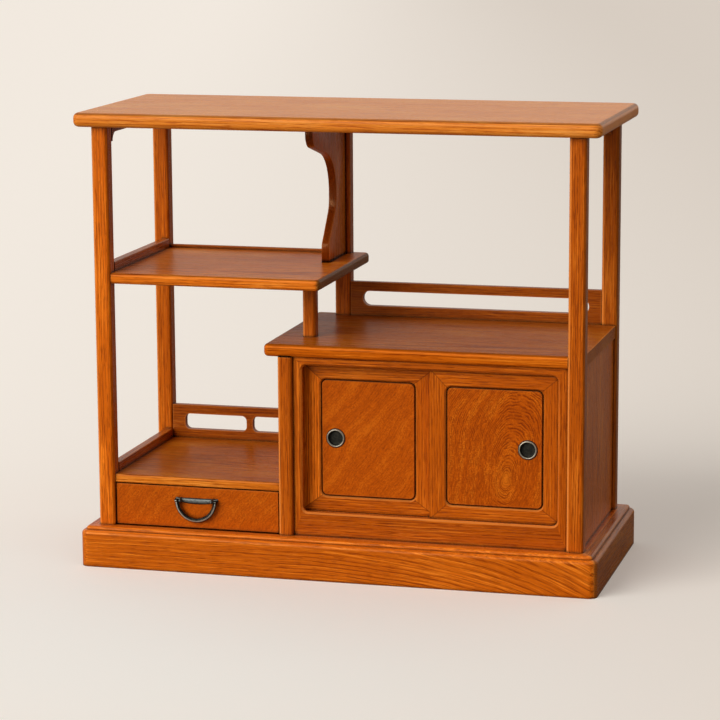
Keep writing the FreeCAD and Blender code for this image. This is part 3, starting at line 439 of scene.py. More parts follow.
# Painted light and shade on the posts: the front left one painted lighter, the front right and
# middle as cut, then the ones in the shade, each tinted to the light it stands in
POST_PAINTED_LIGHT = {"post_front_left": (1.42, 1.5, 1.6), "post_front_right": (1.0, 1.0, 1.0),
              "post_front_middle": (1.0, 1.0, 1.0), "post_back_left": (1.05, 1.1, 1.1),
              "post_back_right": (0.8, 0.86, 1.0), "post_back_middle": (0.9, 0.9, 0.9),
              "post_back_lower": (0.9, 0.9, 0.9), "post_short": (0.82, 0.84, 0.9)}
for index, (post, tone) in enumerate(POST_PAINTED_LIGHT.items()):
    way = (-1) ** index
    # Each post's right face is painted darker as shade, and its left edge carries a painted
    # highlight
    dressed(post, quarter_sawn(post, "z", 0.09 + 0.013 * (index % 3), 0.05 * way,
                               (0.006 * way, 0.0), 0.012, streak=0.65, fibre=0.6,
                               seed=3.7 * index + 1, dash=13, tone=tone,
                               right=(0.84, 0.92, 0.7), handled=0.75))


def shelf_board(node, heart, lean, wander=0.020, **cut):
    """A wide board: its figure arches where the saw ran near the heart of the log."""
    dressed(node, zelkova(node + "_zelkova", "x", tree_rings("x", heart, lean, wander), dash=9,
                          **cut))


# Painted light and shade on the boards: each front and right end takes a tint for the light on it,
# and the middle and lower shelves are painted darker all over, as in the shade of the boards
# above, with their fronts painted lighter again
shelf_board("top_board", (-0.29, 0.55), (0.0, 0.012), 0.024, ring=0.0042, streak=0.95, seed=2.3,
            front=(0.93, 0.85, 0.84), eased=0.5, **HONEY)
shelf_board("upper_shelf", (-0.10, 0.36), (0.0, -0.02), ring=0.0044, seed=5.1, gloss=0.08,
            front=(1.2, 1.1, 1.15), right=(0.36, 0.5, 0.95), eased=0.45, **TAWNY)
shelf_board("middle_shelf", (-0.10, 0.24), (0.02, 0.01), ring=0.0044, seed=8.9, gloss=0.05,
            tone=(0.64, 0.59, 0.50), front=(1.42, 1.20, 0.74), eased=0.4, **TAWNY)
shelf_board("lower_shelf", (-0.02, 0.02), (0.03, -0.02), ring=0.0048, seed=7.7, gloss=0.04,
            tone=(0.72, 0.66, 0.42), front=(1.48, 1.63, 3.05), eased=0.3, **TAWNY)

# The front of the plinth: where its lines start to sweep down, and how far they fall in what
# length
SWEEP_START = -0.16
SWEEP_LENGTH = 0.59
SWEEP_FALL = 0.098
# The same lines slant down from the board's face through its thickness, and a ripple runs along
# them
PLINTH_FACE = -0.189
SWEEP_SLANT = 0.7
SWEEP_RIPPLE = 6 * MM
SWEEP_FOOT = 0.02
# The lines stand further apart the lower they sweep
SWEEP_RING = 0.0036
SWEEP_SPREAD = 0.075
SWEEP_LEAST = 0.0028


def swept_height(wood):
    """The height at which a line of the plinth's grain starts, before it sweeps down."""
    x, y, z = wood.split(wood.place)
    run = (x - SWEEP_START).math("MAXIMUM", 0.0) * (1 / SWEEP_LENGTH)
    fall = run * run * run * SWEEP_FALL
    ripple = wood.noise(wood.join(x * 10, y * 30, z * 30)) - 0.5
    return z - (y - PLINTH_FACE) * SWEEP_SLANT + fall + ripple * SWEEP_RIPPLE + SWEEP_FOOT


def sweeping(wood):
    """The plinth's front board: nearly straight lines at the left that sweep down at the right."""
    height = swept_height(wood) * SWEEP_SPREAD + SWEEP_LEAST
    return height.math("LOGARITHM", math.e) * (SWEEP_RING / SWEEP_SPREAD)


def bolder_to_the_right(wood):
    """How strongly the plinth's lines show: faint at the left and on the ledge, bold where they
    sweep."""
    x, _, z = wood.split(wood.place)
    return wood.ramp(x, (-0.34, 0.16, 0.55, 1.0), True) \
        * wood.ramp(z, (0.053, 0.060, 1.0, 0.2), True)


dressed("plinth_front", zelkova("plinth_front_zelkova", "x", sweeping, ring=SWEEP_RING,
                                streak=0.9, seed=4.2, dash=7, tone=(1.24, 1.32, 1.3),
                                strength=bolder_to_the_right, unbroken=0.45,
                                bend=swept_height))

# The plinth's right end is tinted duller and greyer than its left: painted shade with a painted
# sheen
PLINTH_BOARDS = {"plinth_back": ("x", 1.9, AS_CUT), "plinth_left": ("y", 6.2, AS_CUT),
                 "plinth_right": ("y", 9.4, (0.86, 1.1, 1.3))}
for node, (along, seed, tone) in PLINTH_BOARDS.items():
    dressed(node, quarter_sawn(node, along, seed=seed, tone=tone))

# The rails and aprons are painted darker, the back ones most: painted shade for where they stand
RAIL_SHADE_TONES = {"y": (0.7, 0.74, 0.85), "x": (0.6, 0.62, 0.75)}
RAILS = {"apron_left": "y", "apron_right": "y", "upper_side_rail": "y", "lower_side_rail": "y",
         "upper_back_rail": "x", "lower_back_rail": "x", "middle_back_rail": "x"}
for node, along in RAILS.items():
    dressed(node, quarter_sawn(node, along, seed=len(node) * 1.3, tone=RAIL_SHADE_TONES[along]))

# The right side panel is painted lighter, lifting the shade on the side away from the light; the
# partition takes the same tone
for node in ("side_panel_right", "partition"):
    dressed(node, quarter_sawn(node, "z", 0.08, 0.0, (0.02, 0.0), ring=0.0055,
                               seed=len(node) * 0.9, tone=(1.2, 1.4, 0.94)))

FACE_FRAME = {"face_frame_left": ("z", (1.07, 1.07, 1.0)),
              "face_frame_right": ("z", (1.0, 1.02, 1.0)),
              "face_frame_top": ("x", (1.0, 1.02, 1.0)),
              "face_frame_bottom": ("x", (0.92, 0.92, 0.92))}
for index, (node, (along, tone)) in enumerate(FACE_FRAME.items()):
    dressed(node, quarter_sawn(node, along, 0.10, 0.03, wander=0.016, ring=0.0042,
                               seed=2.1 + index * 4.4, dash=22, tone=tone, framed=True))


# ---------------------------------------------------------------- the scroll bracket

SCROLL_WOOD = quarter_sawn("scroll_panel", "z", 0.03, 0.12, (0.0, 0.03), seed=3.3, streak=0.45,
                           fibre=0.3, tone=(1.25, 1.6, 1.3), front=(0.26, 0.17, 0.25))
scroll_low, scroll_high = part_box("scroll_panel")
# Bends from the nose down: shares of the reach and the height, and the radius's share of the
# height
SCROLL_BENDS = [(0.015, 0.852, 0.1), (0.7, 0.708, 0.3), (0.7, 0.37, 0.17), (0.467, 0.125, 0.055)]
SCROLL_EASE = 1.6 * MM
EASE_STEPS = 4
ARC_STEP = math.radians(4)


def scroll_outline():
    """The bracket's front curve, from the nose down to the foot, its bends as fine arcs."""
    reach = scroll_high.y - scroll_low.y
    height = scroll_high.z - scroll_low.z
    bends = [(scroll_low.y + reach * y, scroll_low.z + height * z, height * size)
             for y, z, size in SCROLL_BENDS]
    corners = [Vector((scroll_low.y, scroll_high.z))] + [Vector(bend[:2]) for bend in bends]
    corners.append(Vector((bends[-1][0], scroll_low.z)))
    points = [corners[0]]
    for before, corner, after, (_, _, radius) in zip(corners, corners[1:], corners[2:], bends):
        back = (before - corner).normalized()
        ahead = (after - corner).normalized()
        half = math.acos(max(-1.0, min(1.0, back.dot(ahead)))) / 2
        centre = corner + (back + ahead).normalized() * (radius / math.sin(half))
        start = corner + back * (radius / math.tan(half)) - centre
        sweep = math.pi - 2 * half
        if start.x * back.y - start.y * back.x > 0:
            sweep = -sweep
        count = max(6, round(abs(sweep) / ARC_STEP))
        for step in range(count + 1):
            turn = sweep * step / count
            points.append(centre + Vector((start.x * math.cos(turn) - start.y * math.sin(turn),
                                           start.x * math.sin(turn) + start.y * math.cos(turn))))
    points.append(corners[-1])
    return points


def scroll_shape(shape):
    """The bracket: its curved front edge rounded over, its other edges square to their boards."""
    curve = scroll_outline()
    runs = [run_at(curve, place) for place in range(len(curve))]
    inward = [Vector((-run.y, run.x)) for run in runs]
    inward[0] = Vector((1.0, 0.0))
    inward[-1] = Vector((1.0, 0.0))
    square = [Vector((scroll_high.y, scroll_low.z)), Vector((scroll_high.y, scroll_high.z))]
    rings = []
    for step in range(EASE_STEPS + 1):
        turn = math.pi / 2 * step / EASE_STEPS
        inset = SCROLL_EASE * (1 - math.sin(turn))
        face = SCROLL_EASE * (1 - math.cos(turn))
        edge = [point + way * inset for point, way in zip(curve, inward)] + square
        rings.append((scroll_low.x + face, edge))
    rings += [(scroll_low.x + scroll_high.x - x, edge) for x, edge in reversed(rings)]
    solid_of_rings(shape, [[Vector((x, *point)) for point in edge] for x, edge in rings])


add_piece("scroll_bracket", scroll_shape, SCROLL_WOOD, "cabinet", "scroll_panel",
          slot="zelkova_frame")


# ---------------------------------------------------------------- the doors' frames

DOORS = ("left_door", "right_door")
DOOR_PARTS = {"stile_left": "z", "stile_right": "z", "rail_bottom": "x", "rail_top": "x"}
PANEL_TONGUE = 4.8 * MM
DOOR_TONE = (1.08, 1.1, 1.04)
# The face frame throws its shadow on this one; its tone is painted lighter, a painted light that
# lifts that shadow
SHADED_STILE = "left_door_stile_left"
STILE_LIFTED_FROM_SHADE = (1.5, 1.55, 1.4)


def corner_seams(door):
    """The planes on which a door frame's stiles and rails meet, one at each corner."""
    outer = [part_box(door + "_stile_left")[0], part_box(door + "_stile_right")[1]]
    low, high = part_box(door + "_panel")
    tongue = Vector((PANEL_TONGUE, 0.0, PANEL_TONGUE))
    inner = [low + tongue, high - tongue]
    seams = {}
    for column, side in enumerate(("left", "right")):
        for row, level in enumerate(("bottom", "top")):
            run_x = inner[column].x - outer[column].x
            run_z = inner[row].z - outer[row].z
            normal = Vector((run_z, 0.0, -run_x)).normalized()
            seams[side, level] = ((outer[column].x, 0.0, outer[row].z), tuple(normal))
    return seams


for door in DOORS:
    seams = corner_seams(door)
    for number, (part, along) in enumerate(DOOR_PARTS.items()):
        node = door + "_" + part
        side = part.split("_")[1]
        dressed(node, quarter_sawn(node, along, 0.10, 0.03, wander=0.012, ring=0.0040,
                                   streak=0.7, seed=number * 2.7 + len(door), dash=22,
                                   tone=STILE_LIFTED_FROM_SHADE if node == SHADED_STILE else DOOR_TONE,
                                   mitres=[seams[key] for key in seams if side in key],
                                   framed=True))


# ---------------------------------------------------------------- panels cut for their figure

# Through one year's growth in these veneers
VENEER_ROWS = [(0.0, 0.7), (0.12, 1.0), (0.36, 0.3), (0.8, 0.0), (1.0, 0.7)]
VENEER_PALE = shade(222, 118, 20)
VENEER_WARM = shade(198, 88, 4)
VENEER_DEEP = shade(132, 46, 0)
VENEER_BUMP = 0.2 * MM
# Keeps every line of a figure on the same side of nothing
FAR_SIDE = 1.0
# The count at the middle of the right panel's eye, and how far its pale spot reaches
EYE_AT = 0.1
EYE_CALM = 0.014
EYE_PALE = 0.024
# The eye, from the panel's lower left corner, and how far it tips to the right
EYE_PLACE = (0.104, 0.052)
EYE_TIP = 0.12


def ribbons(wood):
    """Broad ribbons that climb to the right and bend as they go, with a fine grain across them."""
    x, y, z = wood.split(wood.place)
    drift = wood.noise(wood.join(x * 11, y * 9, z * 11)) - 0.5
    return z * 0.60 - x * 0.80 + drift * 0.034 + FAR_SIDE


def eyed(wood):
    """Lines that close round an eye low on the panel, arch over it, and lean away at the left."""
    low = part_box("right_door_panel")[0]
    x, y, z = wood.split(wood.place)
    ripple = wood.noise(wood.join(x * 26, y * 26, z * 26), colour=True) - (0.5, 0.5, 0.5)
    aside, _, upwards = wood.split(ripple)
    calm = wood.ramp(x, (low.x + 0.03, low.x + 0.09, 0.35, 1.0), True)
    across = x - (low.x + EYE_PLACE[0]) - (z - low.z - 0.05) * EYE_TIP + aside * calm * 0.012
    up = z - (low.z + EYE_PLACE[1]) + upwards * calm * 0.016
    wide = wood.ramp(up, (-0.02, 0.12, 1.4, 0.95), True)
    tall = wood.ramp(up, (-0.04, 0.08, 0.72, 0.5), True)
    ring = distance_of(across * wide, up * tall, 0.000004)
    lean = wood.ramp(across, (-0.075, -0.008, 1.0, 0.0), True)
    tremble = wood.noise(wood.join(x * 85, y * 85, z * 85), 1.0) - 0.5
    return ring + up * lean * 0.2 + tremble * 0.0026 + EYE_AT


def mottled(wood):
    """Even figure that leans across the drawer front."""
    x, y, z = wood.split(wood.place)
    drift = wood.noise(wood.join(x * 14, y * 14, z * 14)) - 0.5
    return x * 0.75 - z * 0.66 + drift * 0.045 + FAR_SIDE


def figured_zelkova(name, figure, ring, line, ribbon, seed, glow=0.55, crisp=150, eye=None):
    """Veneer cut for its figure: fine dashes that follow the lines, over slow ribbons."""
    wood = Finish(name, Roughness=0.3, Specular_IOR_Level=0.36, Specular_Tint=AMBER)
    distance = figure(wood)
    x, y, z = wood.split(wood.place)
    wide = wood.noise(wood.join(distance * 60, seed, 0.0), 2.0, 0.6) - 0.5
    growth = wood.noise(wood.join(distance * 120, 0.0, seed)) * 1.4
    year = (distance * (1 / ring) + growth).math("FRACT")
    vessels = wood.add("ShaderNodeValToRGB", {"stops": VENEER_ROWS}, {0: year})
    dashes = wood.noise(wood.join(distance * crisp * 2, x * crisp * 0.5, z * crisp * 0.6),
                        2.0, 0.6)
    rows = vessels * wood.ramp(dashes, (0.38, 0.58, 0.1, 1.0), True)
    grain = wood.noise(wood.join(distance * 900, x * 70 + z * 90, seed), 2.0, 0.6) - 0.5
    flecks = wood.noise(wood.join(x * 420, y * 420, z * 420), 2.0, 0.7) - 0.5
    cloud = wood.noise(wood.join(x * 22, seed, z * 22)) - 0.5
    pores = wood.ramp(wood.noise(wood.join(x * 1100, y * 1100, z * 700), 1.0),
                      (0.58, 0.72, 0.0, 1.0))
    dark = wood.add("ShaderNodeMath", {"operation": "ADD", "use_clamp": True},
                    {0: rows * line + pores * 0.2 + flecks * 1.1,
                     1: grain * 1.6 + wide * ribbon + cloud * 0.4 + 0.12})
    light = wood.ramp(wide * -1.3 - cloud * 0.7 - flecks * 1.2, (0.0, 0.36, 0.0, glow), True)
    if eye:
        dark = dark * wood.ramp(distance, (eye, eye + EYE_CALM, 0.35, 1.0), True)
        light = light + wood.ramp(distance, (eye, eye + EYE_PALE, 0.75, 0.0), True)
    colour = wood.blend(dark, wood.blend(light, VENEER_WARM, VENEER_PALE), VENEER_DEEP)
    # Painted shade in the grooves, painted highlights along the edges
    wood.set("Base Color", painted_shade_and_highlights(wood, colour, VENEER_SHADE_REACH))
    wood.set("Roughness", pores * 0.12 + grain * 0.14 + 0.3)
    wood.bump(0.3, VENEER_BUMP, grain * 0.5 - pores * 0.6 - rows * 0.3)
    return wood.material


dressed("left_door_panel", figured_zelkova("ribboned_zelkova", ribbons, ring=0.0042, line=0.35,
                                           ribbon=1.0, seed=2.0, glow=0.4))
dressed("right_door_panel", figured_zelkova("eyed_zelkova", eyed, ring=0.0027, line=1.0,
                                            ribbon=0.5, seed=5.0, glow=0.7, crisp=135,
                                            eye=EYE_AT))
dressed("drawer_front", figured_zelkova("mottled_zelkova", mottled, ring=0.0052, line=0.3,
                                        ribbon=0.35, seed=8.0))


# ---------------------------------------------------------------- inner wood

def plain_wood(node, along, seed):
    """Paulownia and the like for what is hidden: paler, duller, thinly lacquered."""
    return zelkova(node + "_wood", along, tree_rings(along, (0.05, -0.06)), ring=0.006,
                   streak=0.4, fibre=0.26, seed=seed, rough=0.5, pale=shade(218, 142, 72),
                   warm=shade(190, 112, 50), deep=shade(134, 68, 24))


HIDDEN = {"corner_blocks": "x", "cupboard_back": "z", "cupboard_floor": "x",
          "drawer_bay_back": "x", "drawer_guides": "y", "drawer_side_left": "y",
          "drawer_side_right": "y", "drawer_back": "x", "drawer_bottom": "x"}
for index, (node, along) in enumerate(HIDDEN.items()):
    dressed(node, plain_wood(node, along, index * 1.7))

HALF_HIDDEN = {"base_board": "x", "door_track_bottom": "x", "door_track_top": "x",
               "drawer_bay_side": "y"}
for node, along in HALF_HIDDEN.items():
    dressed(node, quarter_sawn(node, along, up=0.08, seed=1.1))


# ---------------------------------------------------------------- blackened iron

plate_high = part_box("drawer_pull_plate")[1]
bail_low, bail_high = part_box("drawer_bail")
HANDLE_MIDDLE = (bail_low.x + bail_high.x) / 2
hinge = next(joint for joint in frame["joints"] if joint["child"] == "bail")
_, AXIS_Y, AXIS_Z = hinge["pos_m"]
DUST = shade(92, 84, 70)
IRON_BUMP = 0.3 * MM
# Patches of wear and the grit of the casting, in a metre
PATCHES_OFTEN = 260.0
GRIT_OFTEN = 2400.0
# How squarely the handle's ridge, painted bright as wear and as a highlight, faces the front
RIDGE_TURN = 0.966


def iron(name, dark, worn, low, high, rough, worn_and_highlit=0.0, outward=0.0, ridge=(0.8, 0.99)):
    """Blackened iron, rubbed bright where hands and wear reach it: its edges; the front of the
    handle, more so on the outside of its bow, is painted bright both as wear and as a painted
    highlight."""
    metal = Finish(name, Metallic=0.85)
    patches = metal.noise(metal.place, 3.0, 0.6, PATCHES_OFTEN)
    grit = metal.noise(metal.place, 2.0, 0.6, GRIT_OFTEN)
    curve = metal.add("ShaderNodeNewGeometry", output="Pointiness")
    edge = metal.ramp(curve + (patches - 0.5) * 0.05, (low, high, 0.0, 1.0), True)
    if worn_and_highlit:
        across, backward, up = metal.facing()
        x, _, z = metal.split(metal.place)
        x = x - HANDLE_MIDDLE
        z = z - AXIS_Z
        away = (x * across + z * up) / distance_of(x, z, 0.00001)
        # The front ridge painted bright: worn iron and a painted highlight
        front = metal.ramp(backward * -RIDGE_TURN + away * outward, (*ridge, 0.0, worn_and_highlit), True)
        edge = edge.math("MAXIMUM", front * metal.ramp(patches, (0.3, 0.6, 0.45, 1.0)))
    colour = metal.blend(edge, dark, worn)
    metal.set("Base Color", metal.blend(metal.ramp(patches, (0.45, 0.75, 0.0, 0.35)), colour,
                                        DUST))
    metal.set("Roughness", patches * 0.2 + grit * 0.12 + (rough - 0.12) - edge * 0.08)
    metal.bump(0.25, IRON_BUMP, patches * 0.7 + grit * 0.3)
    return metal.material


PULL_RING = iron("worn_iron_ring", shade(104, 102, 92), shade(178, 172, 156), 0.40, 0.54, 0.42)
PULL_CUP = iron("black_iron_cup", shade(38, 38, 34), shade(70, 68, 60), 0.5, 0.7, 0.5)
PULL_SEAT = iron("black_iron_seat", shade(30, 28, 24), shade(60, 56, 50), 0.5, 0.7, 0.6)
BAIL_IRON = iron("black_iron_bail", shade(12, 12, 10), shade(228, 222, 208), 0.60, 0.76, 0.42,
                 worn_and_highlit=1.0, outward=0.26, ridge=(0.945, 0.995))
PLATE_IRON = iron("black_iron_plate", shade(34, 40, 40), shade(176, 182, 180), 0.54, 0.66, 0.48,
                  worn_and_highlit=0.5)


# ---------------------------------------------------------------- the doors' round pulls

def circle(size, sides):
    """Points evenly round a circle, as pairs."""
    turns = [2 * math.pi * step / sides for step in range(sides)]
    return [(size * math.cos(turn), size * math.sin(turn)) for turn in turns]


def turned(shape, centre, profile, sides=72):
    """A turned piece: its profile (radius, depth towards -Y) carried round the axis along Y."""
    skin(shape, [[(centre.x + x, centre.y - out, centre.z + z) for x, z in circle(radius, sides)]
                 for radius, out in profile])


def rounded(points, times=3):
    """A profile with its bends rounded off by cutting corners."""
    for _ in range(times):
        smooth = [points[0]]
        for (ax, ay), (bx, by) in zip(points, points[1:]):
            smooth.append((ax * 0.75 + bx * 0.25, ay * 0.75 + by * 0.25))
            smooth.append((ax * 0.25 + bx * 0.75, ay * 0.25 + by * 0.75))
        smooth.append(points[-1])
        points = smooth
    return points


# Profiles in mm: radius, and depth towards the front from the panel's face
RING = rounded([(12.3, -0.4), (12.35, 1.0), (12.6, 2.3), (13.8, 2.6), (14.8, 1.8), (15.0, 0.2),
                (14.0, -0.2), (12.4, -0.4)])
SEAT = [(12.0, 0.0), (15.5, 0.9), (16.0, 0.5), (16.0, -0.4), (12.0, -0.4)]
CUP = [(0.0, -4.4)] + rounded([(0.4, -4.4), (7.5, -4.6), (11.4, -4.8), (12.0, -3.4),
                               (12.1, 0.3)]) + [(12.5, 0.3), (12.6, -5.8), (0.0, -5.8)]
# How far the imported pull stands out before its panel
PULL_FLANGE = 2 * MM


def pull_part(name, door, profile, material, *nodes):
    """One turned part of a door's round pull."""
    low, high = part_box(door + "_pull")
    seat = Vector(((low.x + high.x) / 2, low.y + PULL_FLANGE, (low.z + high.z) / 2))
    sizes = [(radius * MM, out * MM) for radius, out in profile]
    add_piece(name, lambda shape: turned(shape, seat, sizes), material, door, *nodes)


for door in DOORS:
    pull_part(door + "_pull_ring", door, RING + [RING[0]], PULL_RING, door + "_pull")
    pull_part(door + "_pull_cup", door, CUP, PULL_CUP)
    pull_part(door + "_pull_seat", door, SEAT + [SEAT[0]], PULL_SEAT)


# ---------------------------------------------------------------- the drawer's handle

BAIL_RADIUS = 32.4 * MM
BAIL_STEPS = 56
# The bar seen from the front and from the side, at its ends and how much more at the bottom
BAIL_WIDTH = (6.4 * MM, 0.5 * MM)
BAIL_DEPTH = (3.9 * MM, 0.65 * MM)
BAIL_SWELL = 0.6
# The eyes at its ends, in mm along the axis and in radius, and its pins
EYE_SHAPE = [(-3.4, 1.6), (-3.4, 2.4), (-2.9, 3.0), (2.9, 3.0), (3.4, 2.4), (3.4, 1.6)]
PIN_SIZE = 1.4 * MM
PIN_END = 8.0 * MM
# A lug in mm: along the axis from the handle's middle, and how far its edge is drawn in
LUG_EDGES = [(25.5, 0.5), (26.0, 0.0), (28.0, 0.0), (28.5, 0.5)]
LUG_SIZE = 3.1 * MM
LUG_HOLE = 1.6 * MM
LUG_ROOT = 1.0 * MM
LUG_STEPS = 16
# The lug's straight sides and root, as shares of the way back and of its size
LUG_BACK = [(0.25, -1), (0.5, -1), (0.75, -1), (1, -1), (1, -0.5), (1, 0), (1, 0.5), (1, 1),
            (0.75, 1), (0.5, 1), (0.25, 1)]
PLATE_HALF = 36.6 * MM
# The plate's height at its ends and how much more in the middle; its edge and its dome
PLATE_DEPTH = (3.8 * MM, 6.1 * MM)
PLATE_DOME = (0.5 * MM, 1.7 * MM)
PLATE_COLUMNS = 44
PLATE_ROWS = 8


def disc(x, size):
    """A circle about the bail's axis, at one place along it."""
    return [Vector((x, AXIS_Y + y, AXIS_Z + z)) for y, z in circle(size, 28)]


def bar(shape, path, widths, depths):
    """A rounded bar along a path in the plane of the drawer front."""
    rings = []
    for place, (point, width, depth) in enumerate(zip(path, widths, depths)):
        run = run_at(path, place)
        side = Vector((run.z, 0.0, -run.x))
        rings.append([point + side * (across * width / 2) - Vector((0, 1, 0)) * (out * depth / 2)
                      for across, out in circle(1, 18)])
    solid_of_rings(shape, rings)


def bail_shape(shape):
    """The bail: a flattened half round bar with an eye and a pin at each end."""
    path, widths, depths = [], [], []
    for step in range(BAIL_STEPS + 1):
        angle = math.pi * step / BAIL_STEPS
        path.append(Vector((HANDLE_MIDDLE - BAIL_RADIUS * math.cos(angle), AXIS_Y,
                            AXIS_Z - BAIL_RADIUS * math.sin(angle))))
        heavy = math.sin(angle) ** BAIL_SWELL
        widths.append(BAIL_WIDTH[0] + BAIL_WIDTH[1] * heavy)
        depths.append(BAIL_DEPTH[0] + BAIL_DEPTH[1] * heavy)
    bar(shape, path, widths, depths)
    for way in (-1, 1):
        centre = HANDLE_MIDDLE + way * BAIL_RADIUS
        solid_of_rings(shape, [disc(centre + out * MM, size * MM) for out, size in EYE_SHAPE])
        solid_of_rings(shape, [disc(x, PIN_SIZE) for x in (centre - way * PIN_END, centre)])


add_piece("iron_bail", bail_shape, BAIL_IRON, "bail", "drawer_bail")


def lug_outline(inset):
    """A lug from the side: round in front, its root in the plate."""
    size = LUG_SIZE - inset
    root = plate_high.y - LUG_ROOT
    points = []
    for step in range(LUG_STEPS + 1):
        angle = math.pi * (0.5 + step / LUG_STEPS)
        points.append((AXIS_Y + size * math.cos(angle), AXIS_Z + size * math.sin(angle)))
    for back, up in LUG_BACK:
        points.append((AXIS_Y + (root - AXIS_Y) * back, AXIS_Z + size * up))
    return points


def lug_shape(shape, way):
    """A lug at the left (-1) or the right (1), with the hole in which the pin turns."""
    rings = []
    for along, inset in LUG_EDGES:
        x = HANDLE_MIDDLE + way * along * MM
        rings.append([Vector((x, y, z)) for y, z in lug_outline(inset * MM)])
    for along in (LUG_EDGES[-1][0], LUG_EDGES[0][0]):
        x = HANDLE_MIDDLE + way * along * MM
        hole = []
        for y, z in lug_outline(0.0):
            out = Vector((0.0, y - AXIS_Y, z - AXIS_Z)).normalized()
            hole.append(Vector((x, AXIS_Y, AXIS_Z)) + out * LUG_HOLE)
        rings.append(hole)
    skin(shape, rings, closed=True)


def plate_shape(shape):
    """The plate: straight along its top, bellied below, domed to the front, with two lugs."""
    top = plate_high.z
    back = plate_high.y
    rings = []
    for column in range(PLATE_COLUMNS + 1):
        share = column / PLATE_COLUMNS * 2 - 1
        x = HANDLE_MIDDLE + PLATE_HALF * share
        depth = PLATE_DEPTH[0] + PLATE_DEPTH[1] * (1 - abs(share) ** 2.4) ** 0.8
        ring = [Vector((x, back, top)), Vector((x, back, top - depth))]
        for row in range(PLATE_ROWS, -1, -1):
            level = row / PLATE_ROWS
            dome = PLATE_DOME[0] + PLATE_DOME[1] * math.sin(math.pi * level) ** 0.45 \
                * (1 - abs(share) ** 6) ** 0.5
            ring.append(Vector((x, back - dome, top - depth * level)))
        rings.append(ring)
    solid_of_rings(shape, rings)
    for way in (-1, 1):
        lug_shape(shape, way)


add_piece("iron_plate", plate_shape, PLATE_IRON, "drawer", "drawer_pull_plate")


# ---------------------------------------------------------------- floor, light and camera

FLOOR_REACH = 60.0
FLOOR_LEFT = shade(250, 244, 238)
FLOOR_RIGHT = shade(217, 208, 200)
FLOOR_NEAR = shade(250, 252, 250)
FLOOR_GLOW = (0.13, 0.118, 0.105, 1.0)
FLOOR_PASSES_ON = shade(120, 112, 104)
NO_LIGHT = (0.0, 0.0, 0.0, 1.0)
# Painted light and shade on the floor: painted darker to the back right, and painted palest round
# a place before the plinth
FLOOR_SLANT = 0.268
FLOOR_SPAN = (-1.3, 1.9, 0.0, 1.0)
FLOOR_BRIGHT_Y = -0.35
FLOOR_BRIGHT = (0.2, 0.95, 1.0, 0.0)

KEY_POWER = 2.75
KEY_WIDTH = math.radians(52)
KEY_COLOUR = (1.0, 0.98, 0.94)
KEY_FROM = Vector((-0.52, -0.70, 0.36))
ROOM_COLOUR = (1.0, 0.975, 0.93, 1.0)
ROOM_LEVEL = 0.17
# Where the room is brighter, by the way one looks, and by how much
CEILING = (0.22, 0.80, 0.0, 0.28)
BACK_WALL = (0.1, 0.9, 0.0, 0.22)
RIGHT_WALL = (-0.2, 0.8, 0.0, 0.14)
BACKDROP = shade(232, 224, 214)
SEEN_IN_GLOSS = 0.4

CAMERA_LENS = 137.15
CAMERA_PLACE = Vector((1.157, -4.321, 1.173))
CAMERA_YAW = math.radians(15.01)
CAMERA_PITCH = math.radians(10.66)
CAMERA_ROLL = math.radians(-0.312)


def added(name, data):
    """An object for a lamp, the camera or the floor, in the scene."""
    thing = bpy.data.objects.new(name, data)
    bpy.context.scene.collection.objects.link(thing)
    return thing


def add_floor():
    """One pale lit floor that runs past every view; it passes on less light than it shows."""
    mesh = bpy.data.meshes.new("studio_floor")
    mesh.from_pydata([(x * FLOOR_REACH, y * FLOOR_REACH, 0)
                      for x, y in ((-1, -1), (1, -1), (1, 1), (-1, 1))], [], [(0, 1, 2, 3)])
    floor = added("studio_floor", mesh)
    paper = Finish("studio_floor_paper", Roughness=0.9, Specular_IOR_Level=0.1,
                   Emission_Strength=1.0)
    seen = paper.add("ShaderNodeLightPath", output="Is Camera Ray")
    x, y, _ = paper.split(paper.place)
    # Painted light and shade: the seen floor is painted darker to the back right and palest before
    # the plinth
    side = paper.ramp(x + y * FLOOR_SLANT, FLOOR_SPAN, True)
    near = paper.ramp(distance_of(x, y - FLOOR_BRIGHT_Y), FLOOR_BRIGHT, True)
    tone = paper.blend(near, paper.blend(side, FLOOR_LEFT, FLOOR_RIGHT),
                       paper.blend(side, FLOOR_NEAR, FLOOR_RIGHT))
    paper.set("Base Color", paper.blend(seen, FLOOR_PASSES_ON, tone))
    paper.set("Emission Color", paper.blend(seen, NO_LIGHT, FLOOR_GLOW))
    floor.data.materials.append(paper.material)


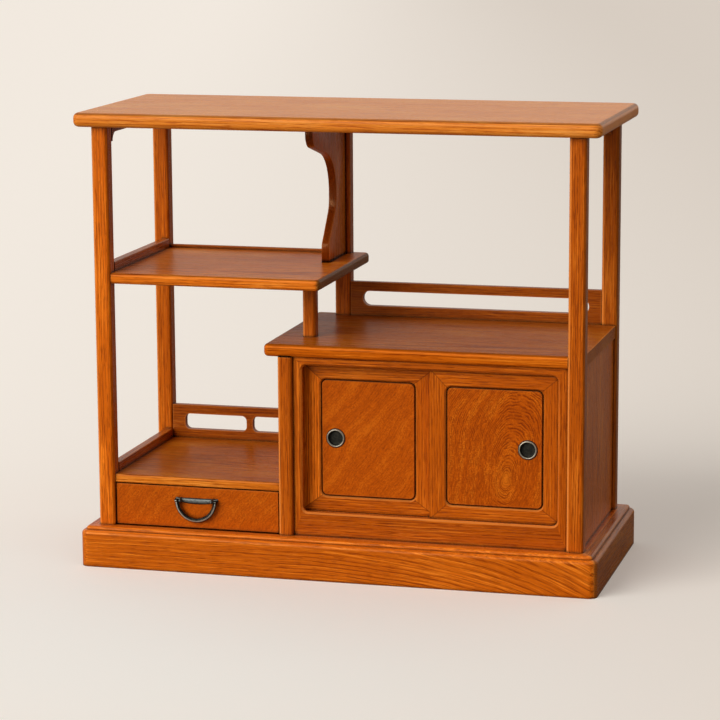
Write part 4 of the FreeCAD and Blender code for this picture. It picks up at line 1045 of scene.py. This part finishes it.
def add_light():
    """A broad key from the front left, a lit ceiling and a dim room round them."""
    sun = bpy.data.lights.new("soft_key", "SUN")
    sun.energy = KEY_POWER
    sun.angle = KEY_WIDTH
    sun.color = KEY_COLOUR
    added("soft_key", sun).rotation_euler = KEY_FROM.to_track_quat("Z", "Y").to_euler()

    world = bpy.data.worlds.new("studio")
    bpy.context.scene.world = world
    world.use_nodes = True
    room = Finish("studio_room", world)
    x, y, z = room.split(room.add("ShaderNodeTexCoord", output="Generated"))
    level = room.ramp(z, CEILING, True) + room.ramp(y, BACK_WALL, True) \
        + room.ramp(x, RIGHT_WALL, True) + ROOM_LEVEL
    light = room.add("ShaderNodeBackground", None, {"Color": ROOM_COLOUR, "Strength": level})
    backdrop = room.add("ShaderNodeBackground", None, {"Color": BACKDROP, "Strength": 1.0})
    seen = room.add("ShaderNodeLightPath", output="Is Camera Ray")
    glossy = room.add("ShaderNodeLightPath", output="Is Glossy Ray")
    room.close(room.add("ShaderNodeMixShader", None,
                        {0: seen + glossy * SEEN_IN_GLOSS, 1: light, 2: backdrop}))


def add_camera():
    """The camera stands to the right and a little above, as in the photograph."""
    camera = bpy.data.cameras.new("camera")
    camera.sensor_width = 36.0
    camera.lens = CAMERA_LENS
    camera.clip_end = 200.0
    forward = Vector((-math.sin(CAMERA_YAW) * math.cos(CAMERA_PITCH),
                      math.cos(CAMERA_YAW) * math.cos(CAMERA_PITCH), -math.sin(CAMERA_PITCH)))
    right = Vector((math.cos(CAMERA_YAW), math.sin(CAMERA_YAW), 0.0))
    up = right.cross(forward)
    across = right * math.cos(CAMERA_ROLL) + up * math.sin(CAMERA_ROLL)
    upward = -right * math.sin(CAMERA_ROLL) + up * math.cos(CAMERA_ROLL)
    eye = added("camera", camera)
    matrix = eye.matrix_world.copy()
    for row in range(3):
        matrix[row][0] = across[row]
        matrix[row][1] = upward[row]
        matrix[row][2] = -forward[row]
    matrix.translation = CAMERA_PLACE
    eye.matrix_world = matrix
    bpy.context.scene.camera = eye


add_floor()
add_light()
add_camera()
bpy.context.scene.view_settings.view_transform = "Standard"
